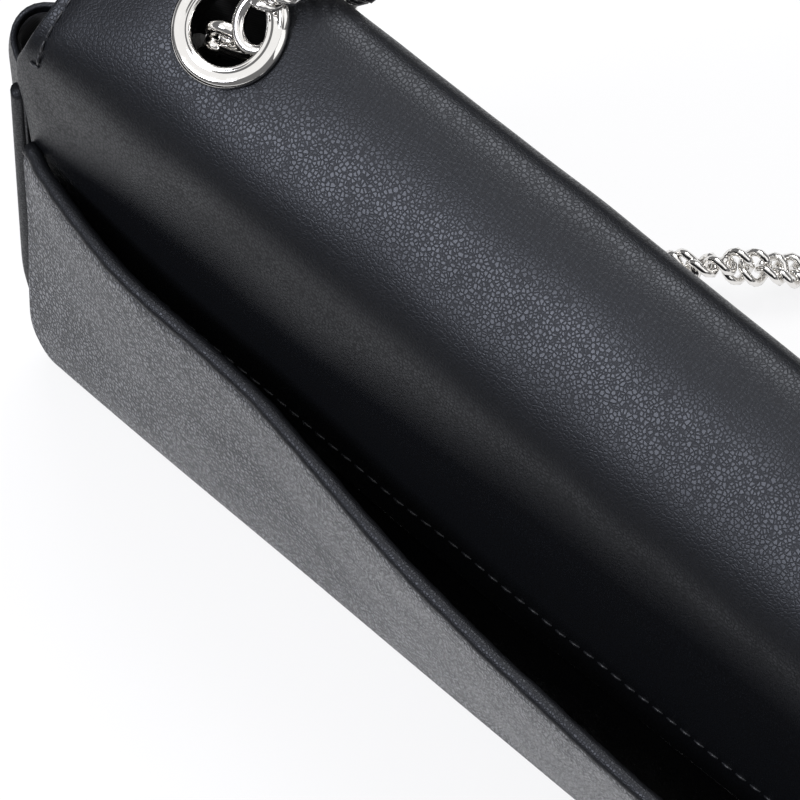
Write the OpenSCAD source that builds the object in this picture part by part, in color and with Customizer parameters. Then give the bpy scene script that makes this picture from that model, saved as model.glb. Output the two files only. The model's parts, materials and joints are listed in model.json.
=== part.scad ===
// Small flap shoulder bag of soft leather with a chain strap. Lengths are in millimetres.
// Origin: centre of the underside of the base. +X: towards the end with the left eyelet, seen from behind.
// +Y: back of the bag, with the open pocket. +Z: up.
// Every wall is a grid of points that follows the sizes below.

/* [Body] */
// Width across the two ends
body_w = 270; // [220:1:320]
// Depth of the base, front to back
base_d = 62; // [50:1:80]
// Radius of the lower corners, seen from the front or back
corner_r = 16; // [10:1:24]
// How far the front panel's top lies below the top of the flap
front_drop = 28.6; // [22:0.2:50]
// How far the front panel swells in the middle
front_belly = 2; // [0:0.5:4]
// How far the back wall swells in the middle
back_belly = 2.5; // [0:0.5:5]
// Height at which the back leather is sewn to the pocket's inner wall
back_seam_z = 58; // [45:1:75]

/* [Flap] */
// Height of the top of the closed flap
crest_z = 153.6; // [140:0.2:170]
// Height of that top above the line where the flap turns, at the back
crest_rise = 34.6; // [28:0.2:44]
// How far each end of the flap lies inside the end of the body
flap_inset = 2; // [0:0.5:6]
// Gap between the flap's lining and the front panel's top edge, in the middle of the bag
flap_clearance = 1.5; // [1.3:0.1:4]
// Depth from the back of the bag to the front of the crest
crest_d = 44; // [36:1:56]
// Height of the flap's lower edge
flap_edge_z = 42; // [30:1:70]
// How far the flap's lower edge stands in front of the base
flap_edge_out = 3; // [1:0.5:8]
// Radius of the flap's lower corners
flap_corner_r = 24; // [10:1:40]
// How far the flap droops at its ends
flap_droop = 5; // [0:0.5:8]

/* [Back pocket] */
// Length of the pocket panel from the base to its lip
pocket_h = 86; // [60:1:98]
// How far the lip stands away from the back at its widest
pocket_gape = 22; // [8:1:30]
// Radius of the rolled lip
lip_r = 1.8; // [1.2:0.1:2.6]

/* [Gussets] */
// How far the top of the gusset lies below the front panel's top
gusset_below = 4; // [2:0.5:20]
// How much lower the gusset ends at its back seam
gusset_drop = 11; // [0:0.5:16]
// Depth of the fold in the middle of the gusset at its top
fold_depth = 17; // [6:1:24]
// How far the gusset swells beside its seams
lobe_out = 7; // [0:0.5:10]
// Radius of the welt along the back seam
welt_r = 1.3; // [0.8:0.1:2]

/* [Leather] */
// Thickness of the outer leather
leather_t = 1.4; // [1:0.1:2.2]
// Thickness of the stiffening board
board_t = 0.8; // [0.5:0.1:1.4]
// Thickness of the lining
lining_t = 0.7; // [0.4:0.1:1.2]
// Gap between two layers
layer_gap = 0.2; // [0.1:0.05:0.4]

/* [Eyelets] */
// Outside diameter of the eyelet ring
eyelet_od = 25.6; // [22:0.2:28]
// Diameter of the hole in the eyelet
eyelet_id = 16.6; // [14:0.2:19]
// Distance from the end of the bag to the middle of the eyelet
eyelet_inset = 40; // [34:1:60]
// Height of the eyelet ring above the leather
eyelet_t = 1.9; // [1.2:0.1:2.6]
// Diameter of the bar under the eyelet
bar_d = 3; // [2.4:0.1:4]
// Length of the bar under the eyelet
bar_l = 22; // [19:0.5:26]
// Angle between the bar and the width of the bag
bar_turn = 24; // [0:1:60]

/* [Chain] */
// Outside diameter of the chain
chain_d = 8.8; // [6:0.2:9.2]

/* [Magnet] */
// Diameter of the magnetic catch
magnet_d = 17; // [12:0.5:20]
// Height of the catch above the lower edge of the flap
magnet_rise = 17; // [14:0.5:30]

/* [Hidden] */
$fn = 48;
// Gap between neighbouring pieces, and between the flap and the body
fit_gap = 0.3;
// Cutters run this far past what they cut
cut_over = 2;

back_y = base_d / 2;
half_w = body_w / 2;
flap_w = body_w - 2 * flap_inset;
eyelet_span = body_w - 2 * eyelet_inset;
hinge_z = crest_z - crest_rise;
front_h = crest_z - front_drop;
gusset_h = front_h - gusset_below;
lining_in = leather_t + board_t + 2 * layer_gap;
wall_t = lining_in + lining_t;
panel_z = leather_t + fit_gap;

// Number of cells across a wide panel, and across a lining or board
cells_wide = 14;
cells_plain = 8;

function lerp(a, b, t) = a + (b - a) * t;
function clamp01(t) = max(0, min(1, t));
function unit(v) = v / norm(v);
function last(list) = list[len(list) - 1];
// Value of a table of [place, value] pairs at a place between them
function table(pairs, t, k = 0) =
    k >= len(pairs) - 2 || t <= pairs[k + 1][0]
        ? lerp(pairs[k][1], pairs[k + 1][1], clamp01((t - pairs[k][0]) / (pairs[k + 1][0] - pairs[k][0])))
        : table(pairs, t, k + 1);

// A grid is a list of rows of points. Along rows and then along points, the right-hand normal faces outwards.
function grid_normal(g, i, j) =
    let (i0 = max(i - 1, 0), i1 = min(i + 1, len(g) - 1), j0 = max(j - 1, 0), j1 = min(j + 1, len(g[0]) - 1))
    unit(cross(g[i1][j] - g[i0][j], g[i][j1] - g[i][j0]));
// The same grid moved inwards by a depth
function grid_inset(g, depth) =
    [for (i = [0:len(g) - 1]) [for (j = [0:len(g[0]) - 1]) g[i][j] - depth * grid_normal(g, i, j)]];

// Closed solid between two grids of the same size, the outer one first
module between_grids(outer, inner) {
    rows = len(outer);
    cols = len(outer[0]);
    lift = rows * cols;
    points = concat([for (row = outer) for (p = row) p], [for (row = inner) for (p = row) p]);
    faces = concat(
        [for (i = [0:rows - 2]) for (j = [0:cols - 2]) each let (a = i * cols + j, b = a + cols)
            [[a, a + 1, b + 1], [a, b + 1, b],
             [lift + a, lift + b + 1, lift + a + 1], [lift + a, lift + b, lift + b + 1]]],
        [for (j = [0:cols - 2]) each let (a = j, b = (rows - 1) * cols + j)
            [[a + 1, a, lift + a], [a + 1, lift + a, lift + a + 1],
             [b, b + 1, lift + b + 1], [b, lift + b + 1, lift + b]]],
        [for (i = [0:rows - 2]) each let (a = i * cols, b = i * cols + cols - 1)
            [[a, a + cols, lift + a + cols], [a, lift + a + cols, lift + a],
             [b + cols, b, lift + b], [b + cols, lift + b, lift + b + cols]]]);
    polyhedron(points = points, faces = faces, convexity = 6);
}

// One layer of a wall, from one depth under its outer face to another
module layer(grid, from, to) {
    between_grids(grid_inset(grid, from), grid_inset(grid, to));
}

// Half width of the body at a height, with its rounded lower corners
function half_at(z) = z >= corner_r ? half_w
    : half_w - corner_r + sqrt(corner_r * corner_r - (corner_r - z) * (corner_r - z));

// Heights of the rows of a panel, closer together in the lower corners
corner_row_shares = [0.25, 0.55, 1];
wall_row_shares = [0.25, 0.5, 0.75, 1];
function panel_rows(top, low = panel_z) = concat([low],
    [for (s = corner_row_shares) if (s * corner_r > low) s * corner_r],
    [for (s = wall_row_shares) lerp(max(corner_r, low), top, s)]);

// Back wall
function back_swell(x, z) = back_belly * (1 - pow(x / half_w, 2)) * sin(180 * clamp01(z / hinge_z));
function back_grid(z0, z1, cells) =
    [for (z = panel_rows(z1, z0))
        [for (k = [0:cells]) let (x = half_at(z) * (2 * k / cells - 1)) [x, back_y + back_swell(x, z), z]]];

// Front panel: it runs from the base to its top edge through the seat of the magnetic catch
function front_face_y(z) = table([[0, -back_y], [magnet_z, front_magnet_y], [front_h, front_top_y]], z);
function front_swell(x, z) = front_belly * (1 - pow(x / half_w, 2)) * sin(180 * clamp01(z / front_h));
function front_grid(z0, z1, cells) = let (rows = panel_rows(z1, z0))
    [for (i = [len(rows) - 1:-1:0]) let (z = rows[i])
        [for (k = [0:cells]) let (x = half_at(z) * (2 * k / cells - 1))
            [x, front_face_y(z) - front_swell(x, z), z]]];

// Outline of the flap from the hinge over the crest: shares of the crest's depth and rise
top_shares = [[0, 0], [0.018, 0.2], [0.09, 0.42], [0.239, 0.624], [0.807, 0.994], [0.92, 1], [0.991, 0.882]];
// How much of the droop each of those points takes
top_droop_shares = [0, 0.25, 0.6, 1, 1, 1, 0.95];
// Points down the front of the flap as shares of its drop
front_shares = [0.02, 0.2, 0.4, 0.58, 0.74, 0.86, 0.94, 0.985, 1];
fall_start_share = 0.7;
// How far the outline runs past the crest's depth before it falls
fall_y_share = 1.03;
fall_y = back_y - crest_d * fall_y_share;
fall_z = hinge_z + crest_rise * fall_start_share;
flap_edge_y = -back_y - flap_edge_out;
fall_tilt = atan2(fall_y - flap_edge_y, fall_z - flap_edge_z);
// Outer face of the flap at a height, and the top edge of the front panel behind it
function fall_y_at(z) = lerp(flap_edge_y, fall_y, (z - flap_edge_z) / (fall_z - flap_edge_z));
front_top_y = fall_y_at(front_h) + wall_t / cos(fall_tilt) + flap_clearance;
function flap_profile() = concat(
    [for (s = top_shares) [back_y - crest_d * s[0], hinge_z + crest_rise * s[1]]],
    [for (s = front_shares) [lerp(fall_y, flap_edge_y, s), lerp(fall_z, flap_edge_z, s)]]);
front_droop_share = 0.9;
droop_shares = concat(top_droop_shares, [for (s = front_shares) front_droop_share * (1 - s)]);
// The droop starts outside the eyelets, whose seats stay flat
droop_x = eyelet_span / 2 + eyelet_od / 2;
function flap_half(z) = let (below = max(0, flap_edge_z + flap_corner_r - z))
    flap_w / 2 - flap_corner_r + sqrt(max(0, flap_corner_r * flap_corner_r - below * below));
// Places across one half of the flap, with the two sides of the eyelet's seat among them
seat_in_share = (eyelet_span - eyelet_od) / flap_w;
seat_out_share = (eyelet_span + eyelet_od) / flap_w;
half_x_shares = [seat_in_share / 3, seat_in_share * 2 / 3, seat_in_share, seat_out_share,
    (seat_out_share + 1) / 2, 1];
flap_x_shares = concat([for (k = [len(half_x_shares) - 1:-1:0]) -half_x_shares[k]], [0], half_x_shares);
droop_curve_share = 1.5;
function droop_at(x) = let (past = clamp01((abs(x) - droop_x) / (flap_w / 2 - droop_x)))
    flap_droop * pow(past, droop_curve_share);
function flap_grid(first, final) = let (p = flap_profile())
    [for (i = [first:final])
        let (y = p[i][0], z = p[i][1], half = i < len(top_shares) ? flap_w / 2 : flap_half(z))
        [for (s = flap_x_shares) let (x = s * half) [x, y, z - droop_at(x) * droop_shares[i]]]];
flap_rows = len(top_shares) + len(front_shares);
// First row of the board, which stiffens the front of the flap only
board_row = len(top_shares) + 1;

// Seat of an eyelet: the middle of the flat stretch between two points of the outline
seat_a = flap_profile()[3];
seat_b = flap_profile()[4];
seat_mid = (seat_a + seat_b) / 2;
seat_tilt = atan2(seat_b[1] - seat_a[1], seat_a[0] - seat_b[0]);
module at_eyelet(side) {
    translate([side * eyelet_span / 2, seat_mid[0], seat_mid[1]]) rotate([-seat_tilt, 0, 0]) children();
}
barrel_t = 1.1;
barrel_r = eyelet_id / 2 + barrel_t;
washer_t = 1.2;
// How far the rim of the ring reaches past the washer under it
rim_past_washer = 1.5;
washer_r = eyelet_od / 2 - rim_past_washer;
eyelet_hole_r = barrel_r + fit_gap;
module eyelet_cuts() {
    for (side = [-1, 1])
        at_eyelet(side) translate([0, 0, -wall_t - cut_over])
            cylinder(r = eyelet_hole_r, h = wall_t + 2 * cut_over);
}

// Pocket panel: how far its lip stands out along the width, as shares of the gape.
// The first value of a pair is the place, from the right end at 0 to the left end at 1.
gape_shares = [[0, 0], [0.045, 0.36], [0.1, 0.72], [0.16, 0.95], [0.22, 1], [0.3, 0.97], [0.38, 0.91],
    [0.45, 0.84], [0.53, 0.73], [0.61, 0.56], [0.7, 0.36], [0.78, 0.32], [0.84, 0.3], [0.89, 0.21],
    [0.945, 0.08], [1, 0]];
pocket_lining_gap = leather_t + layer_gap;
pocket_t = pocket_lining_gap + lining_t;
function pocket_out(x) = pocket_gape * table(gape_shares, clamp01(x / body_w + 1 / 2));
// Shares of the panel's length at its rows, and how much of the gape each row takes
pocket_row_shares = [0.1, 0.19, 0.34, 0.5, 0.67, 0.84, 1];
gape_curve_share = 1.5;
function pocket_y(x, s) = back_y + back_swell(x, s * pocket_h) + fit_gap + pocket_t
    + pocket_out(x) * pow(s, gape_curve_share);
function pocket_z(x, s) = s * sqrt(pocket_h * pocket_h - pow(pocket_out(x), 2));
pocket_x_shares = [-1, -0.95, -0.87, -0.75, -0.6, -0.4, -0.2, 0, 0.2, 0.4, 0.55, 0.7, 0.8, 0.9, 1];
function pocket_grid() =
    [for (s = concat([panel_z / pocket_h], pocket_row_shares)) let (half = half_at(s * pocket_h))
        [for (k = pocket_x_shares) let (x = k * half) [x, pocket_y(x, s), max(pocket_z(x, s), panel_z)]]];

// Rolled lip: a round tube along the panel's upper edge
lip_sides = 8;
function lip_path(g) = let (top = len(g) - 1) [for (j = [0:len(g[0]) - 1])
    g[top][j] - grid_normal(g, top, j) * pocket_t / 2 + unit(g[top][j] - g[top - 1][j]) * (lip_r + layer_gap)];
steep_share = 0.9;
// Closed tube around a line of centre points, with a given radius and number of sides
module tube(path, r, sides) {
    n = len(path);
    dirs = [for (i = [0:n - 1]) unit(path[min(i + 1, n - 1)] - path[max(i - 1, 0)])];
    rights = [for (d = dirs) unit(cross(d, abs(d[2]) > steep_share ? [0, 1, 0] : [0, 0, 1]))];
    rings = carried(dirs, [rights[0]], 1);
    points = [for (i = [0:n - 1]) let (a = rings[i], b = cross(dirs[i], a))
        for (k = [0:sides - 1]) path[i] + r * (cos(360 * k / sides) * a + sin(360 * k / sides) * b)];
    faces = concat(
        [for (i = [0:n - 2]) for (k = [0:sides - 1]) each
            let (a = i * sides + k, b = i * sides + (k + 1) % sides)
            [[a, a + sides, b + sides], [a, b + sides, b]]],
        [for (k = [1:sides - 2]) [0, k, k + 1]],
        [for (k = [1:sides - 2]) let (e = (n - 1) * sides) [e, e + k + 1, e + k]]);
    polyhedron(points = points, faces = faces, convexity = 8);
}
// Each ring's first spoke is the last ring's, turned as little as the path allows
function carried(dirs, done, i) = i >= len(dirs) ? done
    : let (prev = last(done), next = unit(prev - (prev * dirs[i]) * dirs[i]))
        carried(dirs, concat(done, [next]), i + 1);

// Gusset: a strip down the end of the bag that turns under its corner.
// Places across it run from the front seam at 0 to the back seam at 1.
gusset_across_shares = [0, 0.07, 0.17, 0.33, 0.5, 0.67, 0.83, 0.93, 1];
lobe_shares = [0, 0.8, 0.9, 0.25, 0, 0.25, 0.9, 0.85, 0];
fold_shares = [0, 0, 0.12, 0.6, 1, 0.6, 0.12, 0, 0];
gusset_drop_shares = [0, 0, 0, 0, 0, 0.1, 0.35, 0.75, 1];
gusset_row_shares = [0, 0.14, 0.28, 0.42, 0.56, 0.7, 0.85, 1];
corner_steps = 4;
function gusset_front_y(z) = front_face_y(z) + wall_t + fit_gap;
gusset_back_y = back_y - wall_t - leather_t - layer_gap - fit_gap;
function gusset_y(t, z) = lerp(gusset_front_y(z), gusset_back_y, t);
// How much of the fold and of the lobes shows at a height, and where the lobes begin and are full
fold_curve_share = 1.2;
lobe_start_share = 0.5;
lobe_full_share = 0.82;
function fold_at(z) = fold_depth * pow(clamp01((z - corner_r) / (gusset_h - corner_r)), fold_curve_share);
function lobe_at(z) =
    lobe_out * clamp01((z / gusset_h - lobe_start_share) / (lobe_full_share - lobe_start_share));
function gusset_grid() =
    [for (i = [0:len(gusset_across_shares) - 1]) let (t = gusset_across_shares[i])
        concat(
            [for (k = [0:corner_steps - 1]) let (a = 90 * k / corner_steps, z = corner_r * (1 - cos(a)))
                [half_w - corner_r + corner_r * sin(a), gusset_y(t, z), z]],
            let (top = gusset_h - gusset_drop * gusset_drop_shares[i])
            [for (s = gusset_row_shares) let (z = lerp(corner_r, top, s))
                [half_w + lobe_at(z) * lobe_shares[i] - fold_at(z) * fold_shares[i], gusset_y(t, z), z]])];

// Magnetic catch: two discs, face to face on the front panel and under the flap
magnet_z = flap_edge_z + magnet_rise;
magnet_t = 1.3;
prong_washer_d = 14.5;
flap_face_y = fall_y_at(magnet_z);
// Places a disc at a depth behind the flap's outer face, square to it
module at_magnet(depth) {
    translate([0, flap_face_y, magnet_z]) rotate([90 - fall_tilt, 0, 0]) translate([0, 0, -depth]) children();
}
flap_magnet_in = wall_t + layer_gap;
front_magnet_in = flap_magnet_in + magnet_t + fit_gap;
// The disc on the front panel stands this far above the leather
magnet_proud = 0.9;
// The front panel's face at that height, where its swell is left out
front_magnet_y = flap_face_y + (front_magnet_in + magnet_proud) / cos(fall_tilt) + front_swell(0, magnet_z);
magnet_cut_r = magnet_d / 2 + fit_gap;

// Route of the chain's centre line from the left eyelet over the crest, down the front, along the floor
// and up the front again to the right eyelet
chain_path = [
    [95, 5.8, 142.7], [95, 7.2, 145.4], [94.6, 8.6, 149], [92.8, 8.4, 153], [90.3, 6.8, 155.4],
    [88.4, 4, 156.8], [86.4, 1, 157.8], [84.8, -2.1, 158.4], [82.6, -6, 158.6], [81, -9.6, 158.6],
    [80.2, -12.3, 157.8], [79.8, -14.4, 155.9], [80, -16.5, 152.6], [80.8, -17.5, 150.6],
    [84, -19.2, 144.5], [90, -21.1, 134], [96, -25.4, 112], [100, -30.1, 88],
    [103, -34.8, 64], [105, -39.2, 42], [106, -42.4, 22], [106, -46, 9.6], [103, -52, 5.2], [94, -59, 4.8],
    [80, -64, 4.8], [64, -67, 4.8], [51, -71, 4.8], [41, -78, 4.8], [31, -87, 4.8], [20, -98, 4.8],
    [7, -109, 4.8], [-9, -120, 4.8], [-28, -129, 4.8], [-50, -133, 4.8], [-73, -130, 4.8], [-93, -119, 4.8],
    [-107, -102, 4.8], [-113, -84, 4.8], [-113, -66, 4.8], [-110, -53, 5.2], [-107, -46, 9.6],
    [-106, -42.4, 22], [-105, -39.2, 42], [-103, -34.8, 64],
    [-100, -30.1, 88], [-96, -25.4, 112], [-90, -21.1, 134], [-84, -19.2, 144.5], [-80.8, -17.5, 150.6],
    [-80, -16.5, 152.6], [-79.8, -14.4, 155.9], [-80.2, -12.3, 157.8], [-81, -9.6, 158.6],
    [-82.6, -6, 158.6], [-84.8, -2.1, 158.4], [-86.4, 1, 157.8], [-88.4, 4, 156.8], [-90.3, 6.8, 155.4],
    [-92.8, 8.4, 153], [-94.6, 8.6, 149], [-95, 7.2, 145.4], [-95, 5.8, 142.7]];
chain_sides = 8;

// Flat plate between the two lower corners, with the given inset from the panels and height range
base_end_gap = 2 * fit_gap;
module base_plate(inset, z0, z1) {
    half = half_w - corner_r - base_end_gap;
    translate([-half, -back_y + inset, z0]) cube([2 * half, base_d - 2 * inset, z1 - z0]);
}

module base_panel() color("#26272b") base_plate(0, 0, leather_t);

base_inset = wall_t + leather_t + layer_gap + fit_gap;
board_in = leather_t + layer_gap;
module base_board() color("#8d8170") base_plate(base_inset, board_in, board_in + board_t);

base_lining_z = leather_t + board_t + 2 * layer_gap;
module base_lining() color("#4a4540") base_plate(base_inset, base_lining_z, base_lining_z + lining_t);

module front_panel() color("#2b2c30") difference() {
    layer(front_grid(panel_z, front_h, cells_wide), 0, leather_t);
    at_magnet(front_magnet_in - layer_gap) translate([0, 0, -magnet_t - cut_over - leather_t])
        cylinder(r = magnet_cut_r, h = magnet_t + leather_t + cut_over + layer_gap);
}

// The boards and linings end this far below the edge of the leather
board_back = 4.2;
lining_back = 1.4;
wall_back = 2.8;
board_top = front_h - board_back;
module front_board() color("#8d8170") difference() {
    layer(front_grid(panel_z + fit_gap, board_top, cells_plain), board_in, board_in + board_t);
    at_magnet(front_magnet_in) translate([0, 0, -magnet_t - cut_over - wall_t])
        cylinder(r = magnet_cut_r, h = magnet_t + wall_t + cut_over);
}

module front_lining() color("#4a4540")
    layer(front_grid(panel_z + fit_gap, front_h - lining_back, cells_plain), lining_in, wall_t);

// The back leather lies over the upper part of the pocket's inner wall
module back_panel() color("#303136")
    layer(back_grid(back_seam_z, hinge_z - fit_gap, cells_wide), 0, leather_t);

back_wall_in = leather_t + layer_gap;
wall_top = hinge_z - wall_back;
back_board_top = hinge_z - board_back;
module back_wall() color("#232428")
    layer(back_grid(panel_z, wall_top, cells_plain), back_wall_in, back_wall_in + leather_t);

back_board_in = back_wall_in + leather_t + layer_gap;
module back_board() color("#8d8170")
    layer(back_grid(panel_z + fit_gap, back_board_top, cells_plain), back_board_in, back_board_in + board_t);

back_lining_in = back_board_in + board_t + layer_gap;
module back_lining() color("#4a4540")
    layer(back_grid(panel_z + fit_gap, wall_top, cells_plain), back_lining_in, back_lining_in + lining_t);

module back_pocket_panel() color("#3a3b40") layer(pocket_grid(), 0, leather_t);

module back_pocket_lining() color("#4a4540")
    layer(pocket_grid(), pocket_lining_gap, pocket_t);

module back_pocket_lip() color("#1f2023") tube(lip_path(pocket_grid()), lip_r, lip_sides);

module gusset_leather() layer(gusset_grid(), 0, leather_t);
module gusset_left() color("#2b2c30") gusset_leather();
module gusset_right() color("#2b2c30") mirror([1, 0, 0]) gusset_leather();

module gusset_lining() layer(gusset_grid(), leather_t + layer_gap, leather_t + layer_gap + lining_t);
module gusset_lining_left() color("#4a4540") gusset_lining();
module gusset_lining_right() color("#4a4540") mirror([1, 0, 0]) gusset_lining();

welt_x = half_w + welt_r + layer_gap;
// Height at which the welt begins, just above the rounded corner
welt_z = corner_r + layer_gap + leather_t;
module side_welt() translate([welt_x, back_y - welt_r, welt_z])
    cylinder(r = welt_r, h = gusset_h - gusset_drop - welt_z);
module side_welt_left() color("#1f2023") side_welt();
module side_welt_right() color("#1f2023") mirror([1, 0, 0]) side_welt();

module flap_leather() color("#34353a") difference() {
    layer(flap_grid(0, flap_rows - 1), 0, leather_t);
    eyelet_cuts();
}

board_edge_share = 0.98;
module flap_board() color("#8d8170")
    layer([for (row = flap_grid(board_row, flap_rows - 3))
        [for (p = row) [board_edge_share * p[0], p[1], p[2]]]], board_in, board_in + board_t);

module flap_lining() color("#4a4540") difference() {
    layer(flap_grid(0, flap_rows - 1), lining_in, wall_t);
    eyelet_cuts();
}

// Ring with a flat face, a rounded rim and a barrel that passes through the flap
rim_r = eyelet_t / 2;
module eyelet() {
    rotate_extrude() difference() {
        union() {
            translate([eyelet_id / 2, fit_gap / 2]) square([eyelet_od / 2 - rim_r - eyelet_id / 2, eyelet_t]);
            translate([eyelet_od / 2 - rim_r, fit_gap / 2 + rim_r]) circle(r = rim_r);
            translate([eyelet_id / 2, -wall_t - washer_t - fit_gap])
                square([barrel_t, wall_t + washer_t + 2 * fit_gap]);
        }
        translate([0, -wall_t - 2 * washer_t]) square([eyelet_id / 2, 2 * wall_t + 3 * washer_t]);
    }
}
module eyelet_left() color("silver") at_eyelet(1) eyelet();
module eyelet_right() color("silver") at_eyelet(-1) eyelet();

module eyelet_washer() translate([0, 0, -wall_t - washer_t - fit_gap / 2]) difference() {
    cylinder(r = washer_r, h = washer_t);
    translate([0, 0, -cut_over]) cylinder(r = barrel_r + fit_gap / 2, h = washer_t + 2 * cut_over);
}
module eyelet_washer_left() color("silver") at_eyelet(1) eyelet_washer();
module eyelet_washer_right() color("silver") at_eyelet(-1) eyelet_washer();

// The bar is longer than the hole is wide, so it holds the end of the chain under the eyelet
bar_z = -wall_t - washer_t - 2 * fit_gap - bar_d / 2;
module chain_bar(turn) rotate([0, 0, turn]) translate([-bar_l / 2, 0, bar_z]) rotate([0, 90, 0])
    cylinder(d = bar_d, h = bar_l);
module chain_bar_left() color("silver") at_eyelet(1) chain_bar(bar_turn);
module chain_bar_right() color("silver") at_eyelet(-1) chain_bar(-bar_turn);

module chain_strap() color("silver") tube(chain_path, chain_d / 2, chain_sides);

module front_magnet() color("silver") at_magnet(front_magnet_in + magnet_t)
    cylinder(d = magnet_d, h = magnet_t);
module front_magnet_washer() color("gray") at_magnet(front_magnet_in + 2 * magnet_t + layer_gap)
    cylinder(d = prong_washer_d, h = magnet_t);
module flap_magnet() color("silver") at_magnet(flap_magnet_in + magnet_t)
    cylinder(d = magnet_d, h = magnet_t);

base_panel();
base_board();
base_lining();
front_panel();
front_board();
front_lining();
back_panel();
back_wall();
back_board();
back_lining();
back_pocket_panel();
back_pocket_lining();
back_pocket_lip();
gusset_left();
gusset_right();
gusset_lining_left();
gusset_lining_right();
side_welt_left();
side_welt_right();
flap_leather();
flap_board();
flap_lining();
eyelet_left();
eyelet_right();
eyelet_washer_left();
eyelet_washer_right();
chain_bar_left();
chain_bar_right();
chain_strap();
front_magnet();
front_magnet_washer();
flap_magnet();
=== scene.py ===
import json
import logging
import math
from dataclasses import dataclass, field
from enum import Enum
from typing import Callable, Iterable, Optional, Sequence

import bmesh
import bpy
import numpy as np
from mathutils import Matrix, Vector, noise


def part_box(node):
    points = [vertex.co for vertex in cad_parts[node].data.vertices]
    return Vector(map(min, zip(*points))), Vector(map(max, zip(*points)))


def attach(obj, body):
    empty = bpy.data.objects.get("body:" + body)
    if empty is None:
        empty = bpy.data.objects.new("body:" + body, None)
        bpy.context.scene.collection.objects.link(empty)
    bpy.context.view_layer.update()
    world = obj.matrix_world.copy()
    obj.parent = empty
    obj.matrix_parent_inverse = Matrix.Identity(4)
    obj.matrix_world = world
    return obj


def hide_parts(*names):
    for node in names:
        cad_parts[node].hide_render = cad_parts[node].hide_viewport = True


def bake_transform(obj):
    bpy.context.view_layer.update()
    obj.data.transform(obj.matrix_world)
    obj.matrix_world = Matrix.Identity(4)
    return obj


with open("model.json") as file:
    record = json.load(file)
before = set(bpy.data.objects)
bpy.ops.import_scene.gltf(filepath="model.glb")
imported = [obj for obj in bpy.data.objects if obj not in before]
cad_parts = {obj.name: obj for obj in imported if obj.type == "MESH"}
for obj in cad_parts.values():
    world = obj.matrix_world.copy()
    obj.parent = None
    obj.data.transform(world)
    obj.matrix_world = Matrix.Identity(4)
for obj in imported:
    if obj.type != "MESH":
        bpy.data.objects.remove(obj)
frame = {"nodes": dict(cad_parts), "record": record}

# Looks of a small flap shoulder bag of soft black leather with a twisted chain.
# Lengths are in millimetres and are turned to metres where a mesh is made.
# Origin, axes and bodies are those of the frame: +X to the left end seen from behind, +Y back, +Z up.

MM = 0.001
BODY = "body"
FLAP = "flap"
LOG = logging.getLogger("shoulder_bag")

Point = Sequence[float]
Place = Callable[[float, float], Vector]

# Vertices that are nearer than this, in millimetres, are one
MERGE = 0.001


class Side(Enum):
    """The two ends of the bag, named as they are seen from behind."""

    LEFT = 1
    RIGHT = -1


class Slot(Enum):
    """Material slots of the record."""

    LEATHER = "black_leather"
    BOARD = "stiffening_board"
    LINING = "lining_cloth"
    METAL = "polished_metal"


# Small tools for numbers and curves

def held(value: float, low: float = 0.0, high: float = 1.0) -> float:
    """A value, held between two limits."""
    return min(high, max(low, value))


def ease(value: float) -> float:
    """Smooth step of a value that is held between 0 and 1."""
    t = held(value)
    return t * t * (3 - 2 * t)


def ramp(value: float, start: float, length: float) -> float:
    """Smooth step from 0 at a start to 1 a length further on, or further down where that is negative."""
    return ease((value - start) / length)


def bell(offset: float, reach: float) -> float:
    """Bell curve that is 1 at no offset and fades over its reach."""
    return math.exp(-(offset / reach) ** 2)


def ripple(point: Point, wavelength: float, seed: float) -> float:
    """Soft unevenness between about -1 and 1.

    Args:
        point: Place in millimetres.
        wavelength: Distance between neighbouring swells in millimetres.
        seed: Any number, which picks the pattern.

    Returns:
        The height of the unevenness at that place.
    """
    scaled = Vector(point) / wavelength
    return noise.noise(scaled + Vector((seed, seed * 0.7, -seed)))


def unevenness(point: Point, waves: Sequence[Point]) -> float:
    """Sum of ripples, each given by its height, its wavelength and its seed."""
    return sum(height * ripple(point, wavelength, seed) for height, wavelength, seed in waves)


def from_edges(length: float, near: Sequence[float], step: float) -> list[float]:
    """Places along a length, close together at both ends.

    Args:
        length: The whole length in millimetres.
        near: Distances from each end at which places are wanted.
        step: Largest distance between places in the middle.

    Returns:
        Rising places from 0 to the length.
    """
    last = near[-1]
    count = max(1, math.ceil((length - 2 * last) / step))
    middle = [last + (length - 2 * last) * k / count for k in range(1, count)]
    return list(near) + middle + [length - d for d in reversed(near)]


def evenly(first: float, last: float, count: int) -> list[float]:
    """Places from the first to the last in even steps, whose number is given."""
    return [first + (last - first) * k / count for k in range(count + 1)]


def edge_shares(half: float, near: Sequence[float], step: float) -> list[float]:
    """Shares from -1 to 1 of a half width, close together at both ends."""
    return [place / half - 1 for place in from_edges(2 * half, near, step)]


def square_to(way: Vector, axis: Vector) -> Vector:
    """Unit direction that is square to an axis of unit length and nearest to a way."""
    return (way - axis * way.dot(axis)).normalized()


def frame_of(x_way: Vector, y_way: Vector, z_way: Vector, centre: Point) -> Matrix:
    """Place and turn whose three axes look along the ways."""
    return Matrix.Translation(centre) @ Matrix((x_way, y_way, z_way)).transposed().to_4x4()


def face_way(face: Place, u: float, v: float, steps: tuple[float, float]) -> Vector:
    """Unit normal of a face, from short steps to both sides of a place.

    Args:
        face: Gives the face's point for a column and a row.
        u: Column place.
        v: Row place.
        steps: Length of the steps across and along.

    Returns:
        The cross product of the way along and the way across.
    """
    across = face(u + steps[0], v) - face(u - steps[0], v)
    along = face(u, v + steps[1]) - face(u, v - steps[1])
    return along.cross(across).normalized()


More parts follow.
